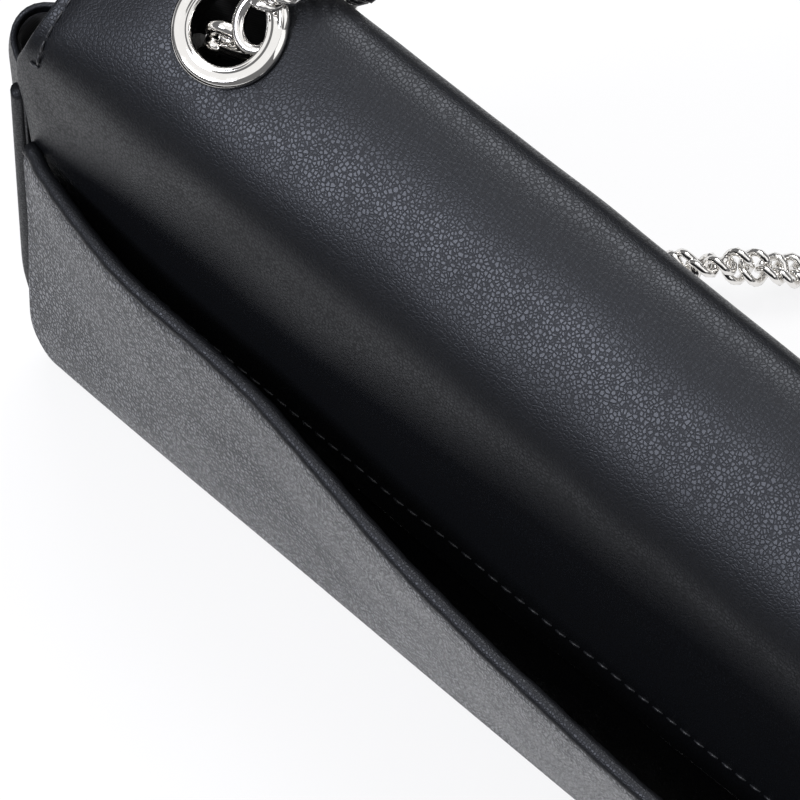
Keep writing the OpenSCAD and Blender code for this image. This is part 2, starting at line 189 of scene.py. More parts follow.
class SmoothLine:
    """Smooth line through chosen points, with places measured along it in millimetres."""

    def __init__(self, points: Sequence[Point], step: float = 0.5) -> None:
        """Fits a natural cubic curve.

        Args:
            points: Points that the line passes through.
            step: Distance between the samples that are kept.
        """
        knots = np.asarray(points, float)
        chord = np.concatenate([[0.0], np.cumsum(np.linalg.norm(np.diff(knots, axis=0), axis=1))])
        fine = np.linspace(0, chord[-1], max(8, int(chord[-1] / step) * 2))
        curve = self._cubic(chord, knots, fine)
        along = np.concatenate([[0.0], np.cumsum(np.linalg.norm(np.diff(curve, axis=0), axis=1))])
        self.length = float(along[-1])
        self._along = along
        self._curve = curve

    @staticmethod
    def _cubic(chord: np.ndarray, knots: np.ndarray, fine: np.ndarray) -> np.ndarray:
        """Natural cubic through the knots.

        Args:
            chord: Place of each knot.
            knots: Points, one for each place.
            fine: Places at which the curve is read.

        Returns:
            The curve's points at the fine places.
        """
        n = len(chord)
        gap = np.diff(chord)
        matrix = np.eye(n)
        right = np.zeros_like(knots)
        for i in range(1, n - 1):
            matrix[i, i - 1:i + 2] = gap[i - 1], 2 * (gap[i - 1] + gap[i]), gap[i]
            right[i] = 6 * ((knots[i + 1] - knots[i]) / gap[i] - (knots[i] - knots[i - 1]) / gap[i - 1])
        bend = np.linalg.solve(matrix, right)
        cell = np.clip(np.searchsorted(chord, fine, side="right") - 1, 0, n - 2)
        width = gap[cell][:, None]
        a = (chord[cell + 1] - fine)[:, None] / width
        b = 1 - a
        bent = ((a ** 3 - a) * bend[cell] + (b ** 3 - b) * bend[cell + 1]) * width ** 2 / 6
        return a * knots[cell] + b * knots[cell + 1] + bent

    def at(self, place: float) -> np.ndarray:
        """Point at a distance along the line."""
        return np.array([np.interp(place, self._along, column) for column in self._curve.T])

    def heading(self, place: float, reach: float = 0.6) -> np.ndarray:
        """Unit direction of the line at a distance along it."""
        step = self.at(min(self.length, place + reach)) - self.at(max(0.0, place - reach))
        return step / np.linalg.norm(step)


# Small tools for meshes

def new_object(bm: bmesh.types.BMesh, name: str, levels: int = 0) -> bpy.types.Object:
    """Turns a bmesh in millimetres into a smooth-shaded object in metres.

    Args:
        bm: The mesh, which is freed.
        name: Name of the new object.
        levels: Levels of subdivision surface, 0 for none.

    Returns:
        The object, at the origin and linked to the scene.
    """
    bmesh.ops.scale(bm, vec=(MM, MM, MM), verts=bm.verts)
    for face in bm.faces:
        face.smooth = True
    mesh = bpy.data.meshes.new(name)
    bm.to_mesh(mesh)
    bm.free()
    thing = bpy.data.objects.new(name, mesh)
    bpy.context.scene.collection.objects.link(thing)
    if levels:
        subdivision = thing.modifiers.new("Smooth", "SUBSURF")
        subdivision.levels = levels
        subdivision.render_levels = levels
    return thing


def shell(across: Sequence[float], along: Sequence[float], outer: Place, inner: Place,
          holes: Sequence["Hole"] = ()) -> bmesh.types.BMesh:
    """Closed sheet with a thickness, made from one grid.

    Args:
        across: Places of the columns.
        along: Places of the rows.
        outer: Gives the outer face's point for a column and a row.
        inner: Gives the inner face's point for a column and a row.
        holes: Round holes through the sheet.

    Returns:
        The closed mesh in millimetres, with its faces outwards.
    """
    columns, rows = len(across), len(along)
    bm = bmesh.new()
    bmesh.ops.create_grid(bm, x_segments=columns - 1, y_segments=rows - 1, size=1.0)

    def cell(vert: bmesh.types.BMVert) -> tuple[int, int]:
        """Column and row of a vertex of the grid."""
        return round((vert.co.x + 1) / 2 * (columns - 1)), round((vert.co.y + 1) / 2 * (rows - 1))

    outside = {(i, j): outer(across[i], along[j]) for i in range(columns) for j in range(rows)}
    inside = {(i, j): inner(across[i], along[j]) for i in range(columns) for j in range(rows)}
    for hole in holes:
        gone = [f for f in bm.faces
                if hole.covers(sum((outside[cell(v)] for v in f.verts), Vector()) / len(f.verts))]
        rim = {cell(v) for f in gone for v in f.verts}
        bmesh.ops.delete(bm, geom=gone, context="FACES")
        kept = {cell(v) for v in bm.verts}
        for key in rim & kept:
            outside[key] = hole.snap(outside[key])
            inside[key] = hole.snap(inside[key])
    # The extruded copy goes under the grid, which marks it as the inner face
    lifted = bmesh.ops.extrude_face_region(bm, geom=bm.faces[:], use_keep_orig=True)
    for vert in [g for g in lifted["geom"] if isinstance(g, bmesh.types.BMVert)]:
        vert.co.z = -1
    for vert in bm.verts:
        vert.co = (inside if vert.co.z < -0.5 else outside)[cell(vert)]
    bmesh.ops.recalc_face_normals(bm, faces=bm.faces)
    return bm


@dataclass(frozen=True)
class Hole:
    """Round hole through a sheet, around an axis."""

    centre: Vector
    axis: Vector
    radius: float
    cut_radius: float

    def _flat(self, point: Vector) -> Vector:
        """Part of a point's offset from the centre that is square to the axis."""
        offset = point - self.centre
        return offset - self.axis * offset.dot(self.axis)

    def covers(self, point: Vector) -> bool:
        """Whether a point lies in the part of the sheet that the hole takes away."""
        offset = point - self.centre
        return self._flat(point).length < self.cut_radius and abs(offset.dot(self.axis)) < self.radius

    def snap(self, point: Vector) -> Vector:
        """The point, moved square to the axis onto the hole's edge."""
        flat = self._flat(point)
        return point + flat.normalized() * (self.radius - flat.length)


def lathe(profile: Sequence[Point], steps: int) -> bmesh.types.BMesh:
    """Round solid, turned about the Z axis from a closed outline.

    Args:
        profile: Radius and height of each point of the outline.
        steps: Number of steps round the axis.

    Returns:
        The closed mesh in millimetres.
    """
    bm = bmesh.new()
    ring = [bm.verts.new((r, 0, z)) for r, z in profile]
    edges = [bm.edges.new((ring[k], ring[(k + 1) % len(ring)])) for k in range(len(ring))]
    bmesh.ops.spin(bm, geom=ring + edges, cent=(0, 0, 0), axis=(0, 0, 1), angle=2 * math.pi,
                   steps=steps, use_merge=True)
    bmesh.ops.remove_doubles(bm, verts=bm.verts, dist=MERGE)
    bmesh.ops.dissolve_degenerate(bm, edges=bm.edges, dist=MERGE)
    bmesh.ops.recalc_face_normals(bm, faces=bm.faces)
    return bm


def tube(line: SmoothLine, places: Sequence[float], radius: Callable[[float], float],
         sides: int) -> bmesh.types.BMesh:
    """Round tube with closed ends along a line.

    Args:
        line: Centre line of the tube.
        places: Distances along the line, one for each ring.
        radius: Gives the radius at a distance along the line.
        sides: Number of sides.

    Returns:
        The closed mesh in millimetres.
    """
    bm = bmesh.new()
    spoke = Vector((0.3, 0.2, 1.0))
    rings = []
    for place in places:
        heading = Vector(line.heading(place))
        spoke = square_to(spoke, heading)
        turn = frame_of(spoke, heading.cross(spoke), heading, line.at(place))
        made = bmesh.ops.create_circle(bm, segments=sides, radius=radius(place), matrix=turn,
                                       cap_ends=place in (places[0], places[-1]))
        verts = made["verts"]
        rings.append({e for v in verts for e in v.link_edges if all(w in verts for w in e.verts)})
    for first, second in zip(rings, rings[1:]):
        loops = [e for e in first | second if len({v.index for v in e.verts}) == 2]
        bmesh.ops.bridge_loops(bm, edges=[e for e in loops if e.is_valid])
    bmesh.ops.recalc_face_normals(bm, faces=bm.faces)
    return bm


def scatter(template: bmesh.types.BMesh, places: Iterable[Matrix]) -> bmesh.types.BMesh:
    """Repeats one small mesh.

    Args:
        template: The mesh to repeat, which is freed.
        places: Place and turn of each copy, in millimetres.

    Returns:
        One mesh with all the copies.
    """
    mesh = bpy.data.meshes.new("template")
    template.to_mesh(mesh)
    template.free()
    bm = bmesh.new()
    for place in places:
        before = len(bm.verts)
        bm.from_mesh(mesh)
        bm.verts.ensure_lookup_table()
        bmesh.ops.transform(bm, matrix=place, verts=bm.verts[before:])
    bpy.data.meshes.remove(mesh)
    return bm


def moved(bm: bmesh.types.BMesh, place: Matrix) -> bmesh.types.BMesh:
    """Moves a closed mesh and turns its faces outwards.

    Args:
        bm: The mesh.
        place: Its new place and turn, which may mirror it.

    Returns:
        The same mesh.
    """
    bmesh.ops.transform(bm, matrix=place, verts=bm.verts)
    bmesh.ops.recalc_face_normals(bm, faces=bm.faces)
    return bm


def join(bm: bmesh.types.BMesh, other: bmesh.types.BMesh) -> None:
    """Adds a second mesh to the first.

    Args:
        bm: The mesh that grows.
        other: The mesh that is added, which is freed.
    """
    mesh = bpy.data.meshes.new("joined")
    other.to_mesh(mesh)
    other.free()
    bm.from_mesh(mesh)
    bpy.data.meshes.remove(mesh)


def dress(thing: bpy.types.Object, material: bpy.types.Material, slot: Slot) -> bpy.types.Object:
    """Gives a new piece its material, and reports it.

    Args:
        thing: The piece.
        material: Its finish.
        slot: Slot of the record, which is not used.

    Returns:
        The same piece.
    """
    thing.data.materials.clear()
    thing.data.materials.append(material)
    LOG.info("%s: %s", thing.name, material.name)
    return thing


def fix(thing: bpy.types.Object, body: str, node: Optional[str] = None) -> None:
    """Lets a piece ride one body, in place of the CAD node that it stands for, if any.

    Args:
        thing: The piece.
        body: Name of the body.
        node: Name of the node.
    """
    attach(thing, body)
    if node:
        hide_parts(node)


# Finishes

# Scale at which the bands of a wave texture are about one unit apart
WAVE_BANDS = 0.32


def linear(code: str) -> tuple[float, float, float, float]:
    """Turns an sRGB hex colour into the linear values that a socket takes."""
    parts = [int(code[k:k + 2], 16) / 255 for k in (1, 3, 5)]
    return tuple(c / 12.92 if c <= 0.04045 else ((c + 0.055) / 1.055) ** 2.4 for c in parts) + (1.0,)


def add_node(tree: bpy.types.NodeTree, kind: str, settings: Optional[dict] = None,
             inputs: Optional[dict] = None) -> bpy.types.Node:
    """Adds a node with its settings, values and links.

    Args:
        tree: The node tree.
        kind: Blender's name of the node.
        settings: Properties of the node.
        inputs: Value, or the socket that feeds it, for each input's name or number.

    Returns:
        The new node.
    """
    node = tree.nodes.new(kind)
    for key, value in (settings or {}).items():
        setattr(node, key, value)
    for key, value in (inputs or {}).items():
        if isinstance(value, bpy.types.NodeSocket):
            tree.links.new(value, node.inputs[key])
        else:
            node.inputs[key].default_value = value
    return node


def new_material(name: str) -> tuple[bpy.types.Material, bpy.types.NodeTree]:
    """Makes an empty node material.

    Args:
        name: Name of the material.

    Returns:
        The material and its node tree.
    """
    material = bpy.data.materials.new(name)
    material.use_nodes = True
    material.node_tree.nodes.clear()
    return material, material.node_tree


def close_material(tree: bpy.types.NodeTree, surface: bpy.types.NodeSocket) -> None:
    """Links a shader to the material's output."""
    add_node(tree, "ShaderNodeOutputMaterial", inputs={"Surface": surface})


@dataclass(frozen=True)
class PebbledCalf:
    """Chrome-tanned calf with a printed pebble grain and a soft pigment finish.

    Creases part the pebbles and break each highlight into small points; they are dark through their bump and
    through painted shade in their colour, and the pigment gives a bluish black.
    """

    name: str = "pebbled calf leather"
    # Painted shade: the colour that the creases take at their deepest, in place of the shade that falls in
    # them
    crease_shade: str = "#08080a"
    dark: str = "#0e0f12"
    pale: str = "#15171b"
    pebble_mm: float = 0.92
    stretch: float = 1.0
    # How far the pebbles' outlines wander, and over how many pebbles
    drift_mm: float = 0.5
    drift_pebbles: float = 1.5
    # Width of a crease as a share of its cell, how fast it deepens, and what its finer cells and
    # the pores add to its depth
    crown_share: float = 0.25
    crease_power: float = 1.4
    fine_share: float = 0.05
    pore_share: float = 0.12
    pore_mm: float = 0.35
    cloud_mm: float = 26
    relief_mm: float = 0.03
    low_gloss: float = 0.39
    high_gloss: float = 0.32
    crease_matt: float = 0.2
    level: float = 0.37
    coat: float = 0.0
    tint: str = "#eef2fc"

    def build(self) -> bpy.types.Material:
        """Makes the material.

        Returns:
            The material with its nodes.
        """
        material, tree = new_material(self.name)
        where = add_node(tree, "ShaderNodeTexCoord").outputs["Object"]
        drift = add_node(tree, "ShaderNodeTexNoise", inputs={
            "Vector": where, "Scale": 1 / (self.pebble_mm * self.drift_pebbles * MM), "Detail": 2.0})
        pulled = add_node(tree, "ShaderNodeVectorMath", {"operation": "MULTIPLY"}, {
            0: where, 1: (1.0, 1.0, 1 / self.stretch)})
        bent = add_node(tree, "ShaderNodeVectorMath", {"operation": "MULTIPLY_ADD"}, {
            0: drift.outputs["Color"], 1: (self.drift_mm * MM,) * 3,
            2: pulled.outputs["Vector"]}).outputs["Vector"]
        depths = []
        for size in (self.pebble_mm, self.pebble_mm * 0.5):
            cells = add_node(tree, "ShaderNodeTexVoronoi", {"feature": "DISTANCE_TO_EDGE"}, {
                "Vector": bent, "Scale": 1 / (size * MM), "Randomness": 0.9})
            near = add_node(tree, "ShaderNodeMapRange", {"interpolation_type": "SMOOTHSTEP"}, {
                "Value": cells.outputs["Distance"], "From Max": self.crown_share,
                "To Min": 1.0, "To Max": 0.0})
            depths.append(add_node(tree, "ShaderNodeMath", {"operation": "POWER"}, {
                0: near.outputs["Result"], 1: self.crease_power}).outputs[0])
        pores = add_node(tree, "ShaderNodeTexNoise", inputs={
            "Vector": where, "Scale": 1 / (self.pore_mm * MM), "Detail": 2.0, "Roughness": 0.6})
        cloud = add_node(tree, "ShaderNodeTexNoise", inputs={
            "Vector": where, "Scale": 1 / (self.cloud_mm * MM), "Detail": 3.0, "Roughness": 0.55})
        fine = add_node(tree, "ShaderNodeMath", {"operation": "MULTIPLY_ADD"}, {
            0: depths[1], 1: self.fine_share, 2: depths[0]})
        depth = add_node(tree, "ShaderNodeMath", {"operation": "MULTIPLY_ADD"}, {
            0: pores.outputs["Fac"], 1: self.pore_share, 2: fine.outputs[0]})
        bump = add_node(tree, "ShaderNodeBump", {"invert": True}, {
            "Height": depth.outputs[0], "Strength": 1.0, "Distance": self.relief_mm * MM})
        top = add_node(tree, "ShaderNodeMix", {"data_type": "RGBA"}, {
            "Factor": cloud.outputs["Fac"], 6: linear(self.dark), 7: linear(self.pale)})
        # Painted shade: the colour darkens towards the crease colour as the creases deepen
        tint = add_node(tree, "ShaderNodeMix", {"data_type": "RGBA"}, {
            "Factor": depths[0], 6: top.outputs[2], 7: linear(self.crease_shade)})
        gloss = add_node(tree, "ShaderNodeMapRange", inputs={
            "Value": cloud.outputs["Fac"], "From Min": 0.3, "From Max": 0.7,
            "To Min": self.low_gloss, "To Max": self.high_gloss})
        matt = add_node(tree, "ShaderNodeMath", {"operation": "MULTIPLY_ADD", "use_clamp": True}, {
            0: depths[0], 1: self.crease_matt, 2: gloss.outputs["Result"]})
        surface = add_node(tree, "ShaderNodeBsdfPrincipled", inputs={
            "Base Color": tint.outputs[2], "Roughness": matt.outputs[0], "IOR": 1.5,
            "Specular IOR Level": self.level, "Specular Tint": linear(self.tint), "Coat Weight": self.coat,
            "Coat Roughness": 0.4, "Normal": bump.outputs["Normal"], "Coat Normal": bump.outputs["Normal"]})
        close_material(tree, surface.outputs["BSDF"])
        return material


@dataclass(frozen=True)
class WovenLining:
    """Fine cotton twill, dyed black: matt, with faint diagonal ribs."""

    name: str = "black cotton twill"
    dark: str = "#121214"
    pale: str = "#202024"
    rib_mm: float = 0.7
    fuzz_mm: float = 0.4

    def build(self) -> bpy.types.Material:
        """Makes the material.

        Returns:
            The material with its nodes.
        """
        material, tree = new_material(self.name)
        where = add_node(tree, "ShaderNodeTexCoord").outputs["Object"]
        ribs = add_node(tree, "ShaderNodeTexWave", {"wave_type": "BANDS", "bands_direction": "DIAGONAL"}, {
            "Vector": where, "Scale": WAVE_BANDS / (self.rib_mm * MM), "Distortion": 0.4, "Detail": 1.0})
        fuzz = add_node(tree, "ShaderNodeTexNoise", inputs={
            "Vector": where, "Scale": 1 / (self.fuzz_mm * MM), "Detail": 2.0})
        tint = add_node(tree, "ShaderNodeMix", {"data_type": "RGBA"}, {
            "Factor": ribs.outputs["Fac"], 6: linear(self.dark), 7: linear(self.pale)})
        height = add_node(tree, "ShaderNodeMath", {"operation": "ADD"}, {
            0: ribs.outputs["Fac"], 1: fuzz.outputs["Fac"]})
        bump = add_node(tree, "ShaderNodeBump", inputs={
            "Height": height.outputs[0], "Strength": 0.6, "Distance": 0.08 * MM})
        surface = add_node(tree, "ShaderNodeBsdfPrincipled", inputs={
            "Base Color": tint.outputs[2], "Roughness": 0.85, "Specular IOR Level": 0.25,
            "Sheen Weight": 0.15, "Normal": bump.outputs["Normal"]})
        close_material(tree, surface.outputs["BSDF"])
        return material


@dataclass(frozen=True)
class PolishedMetal:
    """Nickel-plated zinc, tumbled and polished: sharp reflections with a trace of haze."""

    name: str = "polished nickel plate"
    colour: str = "#e6e4e1"
    low: float = 0.04
    high: float = 0.13
    haze_mm: float = 1.6

    def build(self) -> bpy.types.Material:
        """Makes the material.

        Returns:
            The material with its nodes.
        """
        material, tree = new_material(self.name)
        where = add_node(tree, "ShaderNodeTexCoord").outputs["Object"]
        haze = add_node(tree, "ShaderNodeTexNoise", inputs={
            "Vector": where, "Scale": 1 / (self.haze_mm * MM), "Detail": 3.0})
        gloss = add_node(tree, "ShaderNodeMapRange", inputs={
            "Value": haze.outputs["Fac"], "From Min": 0.35, "From Max": 0.75,
            "To Min": self.low, "To Max": self.high})
        surface = add_node(tree, "ShaderNodeBsdfPrincipled", inputs={
            "Base Color": linear(self.colour), "Metallic": 1.0, "Roughness": gloss.outputs["Result"]})
        close_material(tree, surface.outputs["BSDF"])
        return material


@dataclass(frozen=True)
class BondedBoard:
    """Bonded fibre board: matt and dyed black, with short fibres pressed together."""

    name: str = "bonded fibre board"
    dark: str = "#191817"
    pale: str = "#242221"
    fibre_mm: float = 1.2

    def build(self) -> bpy.types.Material:
        """Makes the material.

        Returns:
            The material with its nodes.
        """
        material, tree = new_material(self.name)
        where = add_node(tree, "ShaderNodeTexCoord").outputs["Object"]
        fibres = add_node(tree, "ShaderNodeTexNoise", inputs={
            "Vector": where, "Scale": 1 / (self.fibre_mm * MM), "Detail": 4.0, "Distortion": 2.0})
        tint = add_node(tree, "ShaderNodeMix", {"data_type": "RGBA"}, {
            "Factor": fibres.outputs["Fac"], 6: linear(self.dark), 7: linear(self.pale)})
        bump = add_node(tree, "ShaderNodeBump", inputs={
            "Height": fibres.outputs["Fac"], "Strength": 0.4, "Distance": 0.1 * MM})
        surface = add_node(tree, "ShaderNodeBsdfPrincipled", inputs={
            "Base Color": tint.outputs[2], "Roughness": 0.9, "Normal": bump.outputs["Normal"]})
        close_material(tree, surface.outputs["BSDF"])
        return material


@dataclass(frozen=True)
class WaxedThread:
    """Black waxed polyester thread: a twisted cord with a low gloss."""

    name: str = "waxed polyester thread"
    colour: str = "#242529"
    twist_mm: float = 0.45

    def build(self) -> bpy.types.Material:
        """Makes the material.

        Returns:
            The material with its nodes.
        """
        material, tree = new_material(self.name)
        where = add_node(tree, "ShaderNodeTexCoord").outputs["Object"]
        twist = add_node(tree, "ShaderNodeTexWave", {"bands_direction": "DIAGONAL"}, {
            "Vector": where, "Scale": WAVE_BANDS / (self.twist_mm * MM)})
        bump = add_node(tree, "ShaderNodeBump", inputs={
            "Height": twist.outputs["Fac"], "Strength": 0.5, "Distance": 0.05 * MM})
        surface = add_node(tree, "ShaderNodeBsdfPrincipled", inputs={
            "Base Color": linear(self.colour), "Roughness": 0.4, "Normal": bump.outputs["Normal"]})
        close_material(tree, surface.outputs["BSDF"])
        return material


@dataclass(frozen=True)
class PaleFloor:
    """White paper table under the bag, which the camera and every gloss see as bright as its colour."""

    name: str = "white paper"
    colour: str = "#fdfdfe"
    plain_share: float = 0.86
    tooth_mm: float = 1.5

    def build(self) -> bpy.types.Material:
        """Makes the material: paper that takes shadows, with a share of plain white for what sees it.

        Returns:
            The material with its nodes.
        """
        material, tree = new_material(self.name)
        where = add_node(tree, "ShaderNodeTexCoord").outputs["Object"]
        tooth = add_node(tree, "ShaderNodeTexNoise", inputs={
            "Vector": where, "Scale": 1 / (self.tooth_mm * MM), "Detail": 2.0})
        bump = add_node(tree, "ShaderNodeBump", inputs={
            "Height": tooth.outputs["Fac"], "Strength": 0.05, "Distance": 0.05 * MM})
        paper = add_node(tree, "ShaderNodeBsdfDiffuse", inputs={
            "Color": linear(self.colour), "Normal": bump.outputs["Normal"]})
        plain = add_node(tree, "ShaderNodeEmission", inputs={"Color": linear(self.colour), "Strength": 1.0})
        path = add_node(tree, "ShaderNodeLightPath")
        seen = add_node(tree, "ShaderNodeMath", {"operation": "MAXIMUM"}, {
            0: path.outputs["Is Camera Ray"], 1: path.outputs["Is Glossy Ray"]})
        seen = add_node(tree, "ShaderNodeMath", {"operation": "MAXIMUM"}, {
            0: seen.outputs[0], 1: path.outputs["Is Transmission Ray"]})
        share = add_node(tree, "ShaderNodeMath", {"operation": "MULTIPLY"}, {
            0: seen.outputs[0], 1: self.plain_share})
        surface = add_node(tree, "ShaderNodeMixShader", inputs={
            0: share.outputs[0], 1: paper.outputs["BSDF"], 2: plain.outputs["Emission"]})
        close_material(tree, surface.outputs["Shader"])
        return material


@dataclass
class Finishes:
    """All materials of the bag, each made once."""

    calf: bpy.types.Material = field(default_factory=lambda: PebbledCalf().build())
    # The pocket panel's pigment is painted lighter than the rest of the leather, as painted reflection of
    # the bright floor that it faces at a grazing angle; its creases also take the painted shade
    panel: bpy.types.Material = field(default_factory=lambda: PebbledCalf(
        name="finely pebbled calf leather", pebble_mm=0.9, stretch=1.9, relief_mm=0.6, low_gloss=0.42,
        high_gloss=0.34, dark="#2b2d35", pale="#393c45", crease_matt=0.6, level=1.0,
        coat=0.6).build())
    edge: bpy.types.Material = field(default_factory=lambda: PebbledCalf(
        name="smooth calf leather", pebble_mm=0.8, relief_mm=0.035, low_gloss=0.42,
        high_gloss=0.36, dark="#0e0f11", pale="#141518").build())
    wall: bpy.types.Material = field(default_factory=lambda: PebbledCalf(
        name="thin lining leather", pebble_mm=1.1, relief_mm=0.05, low_gloss=0.6,
        high_gloss=0.5, dark="#0b0b0d", pale="#101113", level=0.4).build())
    lining: bpy.types.Material = field(default_factory=lambda: WovenLining().build())
    metal: bpy.types.Material = field(default_factory=lambda: PolishedMetal().build())
    board: bpy.types.Material = field(default_factory=lambda: BondedBoard().build())
    thread: bpy.types.Material = field(default_factory=lambda: WaxedThread().build())


# Sizes that the frame gives

@dataclass(frozen=True)
class BagForm:
    """Outer form of the bag, which all its walls follow."""

    half_w: float
    base_d: float
    crest_z: float
    hinge_z: float
    front_h: float
    corner_r: float = 16
    catch_z: float = 59
    catch_y: float = -22.6
    front_top_y: float = -13
    back_belly: float = 2.5
    front_belly: float = 2
    leather_t: float = 1.4
    board_t: float = 0.8
    lining_t: float = 0.7
    layer_gap: float = 0.2
    fit_gap: float = 0.3
    # Angle in radians through which the walls curl under at the base
    curl: float = 1.3

    @classmethod
    def from_frame(cls) -> "BagForm":
        """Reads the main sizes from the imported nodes.

        Returns:
            The form with the sizes of the frame.
        """
        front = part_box("front_panel")[1] / MM
        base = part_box("base_panel")
        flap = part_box("flap_leather")
        hinge = frame["record"]["behaviour"]["joints"][0]["pos_m"]
        return cls(half_w=front[0], base_d=(base[1][1] - base[0][1]) / MM, crest_z=flap[1][2] / MM,
                   hinge_z=hinge[2] / MM, front_h=front[2])

    @property
    def back_y(self) -> float:
        """Depth of the back wall's outer face."""
        return self.base_d / 2

    @property
    def lining_in(self) -> float:
        """Depth of the lining under the outer face of a wall."""
        return self.leather_t + self.board_t + 2 * self.layer_gap

    @property
    def wall_t(self) -> float:
        """Thickness of a whole wall."""
        return self.lining_in + self.lining_t

    def half_at(self, z: float) -> float:
        """Half width at a height, with the rounded lower corners."""
        low = max(0.0, self.corner_r - z)
        return self.half_w - self.corner_r + math.sqrt(max(0.0, self.corner_r ** 2 - low ** 2))

    def belly(self, x: float, share: float) -> float:
        """Share of a wall's swelling at a place across and at a share of its height."""
        return max(0.0, 1 - (x / self.half_w) ** 2) * math.sin(math.pi * held(share))

    def back_swell(self, x: float, z: float) -> float:
        """How far the back wall swells at a place."""
        return self.back_belly * self.belly(x, z / self.hinge_z)

    def front_face(self, x: float, z: float) -> float:
        """Depth of the front panel's outer face at a place.

        Args:
            x: Place across, from the middle.
            z: Height.

        Returns:
            The face's Y.
        """
        heights = (0, self.catch_z, self.front_h)
        flat = float(np.interp(z, heights, (-self.back_y, self.catch_y, self.front_top_y)))
        return flat - self.front_belly * self.belly(x, z / self.front_h)


def soft_table(pairs: Sequence[Point], spread: float) -> Callable[[float], float]:
    """Smooth function through a table of places and values.

    Args:
        pairs: Places and values in rising order.
        spread: How far each place's value blends into its neighbours.

    Returns:
        A function of the place.
    """
    places, values = np.array(pairs, float).T
    fine = np.linspace(places[0] - 4 * spread, places[-1] + 4 * spread, 600)
    rough = np.interp(fine, places, values)
    weights = np.exp(-0.5 * ((fine[:, None] - fine[None, :]) / spread) ** 2)
    smooth = weights @ rough / weights.sum(axis=1)
    return lambda place: float(np.interp(place, fine, smooth))


class SoftLine:
    """Line through points in a plane whose corners are rounded; further columns follow along."""

    def __init__(self, points: Sequence[Point], spread: float, step: float = 0.5) -> None:
        """Smooths the points.

        Args:
            points: Two coordinates in millimetres, then any other values that follow the line.
            spread: How far each corner is rounded, in millimetres.
            step: Distance between samples.
        """
        knots = np.asarray(points, float)
        chord = np.concatenate([[0], np.cumsum(np.linalg.norm(np.diff(knots[:, :2], axis=0), axis=1))])
        fine = np.arange(0, chord[-1] + step, step)
        rough = np.stack([np.interp(fine, chord, column) for column in knots.T], axis=1)
        pad = int(4 * spread / step)
        before = 2 * rough[0] - rough[1:pad + 1][::-1]
        after = 2 * rough[-1] - rough[-pad - 1:-1][::-1]
        padded = np.concatenate([before, rough, after])
        kernel = np.exp(-0.5 * (np.arange(-pad, pad + 1) * step / spread) ** 2)
        kernel /= kernel.sum()
        self._values = np.stack([np.convolve(column, kernel, "valid") for column in padded.T], axis=1)
        steps = np.linalg.norm(np.diff(self._values[:, :2], axis=0), axis=1)
        self._along = np.concatenate([[0], np.cumsum(steps)])
        self.length = float(self._along[-1])

    def at(self, place: float) -> np.ndarray:
        """All columns at a distance along the line."""
        return np.array([np.interp(place, self._along, column) for column in self._values.T])

    def place_of(self, column: int, value: float, after: float = 0.0) -> float:
        """Distance along the line at which a column is nearest to a value, past a given distance."""
        gap = np.abs(self._values[:, column] - value) + 1e6 * (self._along < after)
        return float(self._along[int(np.argmin(gap))])


# Chain

@dataclass(frozen=True)
class LinkShape:
    """One link of a twisted curb chain."""

    wire: float = 1.95
    length: float = 7.9
    width: float = 8.8
    pitch: float = 3.9
    twist: float = math.radians(52)
    turn: float = math.radians(8)
    steps: int = 16
    sides: int = 6
    # Radius of the plain ring that is bent into the link, and the angle over which its way is read
    plain_r: float = 10
    probe: float = 0.05

    def centre(self, angle: float) -> Vector:
        """Point of the twisted centre line.

        Args:
            angle: Angle round the link.

        Returns:
            The point.
        """
        reach, half = (self.length - self.wire) / 2, (self.width - self.wire) / 2
        x, y = reach * math.cos(angle), half * math.sin(angle)
        roll = self.twist * x / reach
        return Vector((x, y * math.cos(roll), y * math.sin(roll)))

    def build(self) -> bmesh.types.BMesh:
        """Makes the link round the origin: the chain runs along X and its flat side faces Z.

        Returns:
            The link in millimetres.
        """
        bm = bmesh.new()
        stand = Matrix.Translation((self.plain_r, 0, 0)) @ Matrix.Rotation(math.pi / 2, 4, "X")
        ring = bmesh.ops.create_circle(bm, segments=self.sides, radius=self.wire / 2, matrix=stand)
        edges = {e for v in ring["verts"] for e in v.link_edges}
        bmesh.ops.spin(bm, geom=ring["verts"] + list(edges), cent=(0, 0, 0), axis=(0, 0, 1),
                       angle=2 * math.pi, steps=self.steps, use_merge=True)
        bmesh.ops.remove_doubles(bm, verts=bm.verts, dist=MERGE)
        for vert in bm.verts:
            angle = math.atan2(vert.co.y, vert.co.x)
            out = math.hypot(vert.co.x, vert.co.y) - self.plain_r
            middle = self.centre(angle)
            heading = (self.centre(angle + self.probe) - self.centre(angle - self.probe)).normalized()
            spoke = square_to(middle, heading)
            vert.co = middle + spoke * out + heading.cross(spoke) * -vert.co.z
        bmesh.ops.recalc_face_normals(bm, faces=bm.faces)
        bmesh.ops.rotate(bm, cent=(0, 0, 0), matrix=Matrix.Rotation(self.turn, 3, "Z"), verts=bm.verts)
        return bm


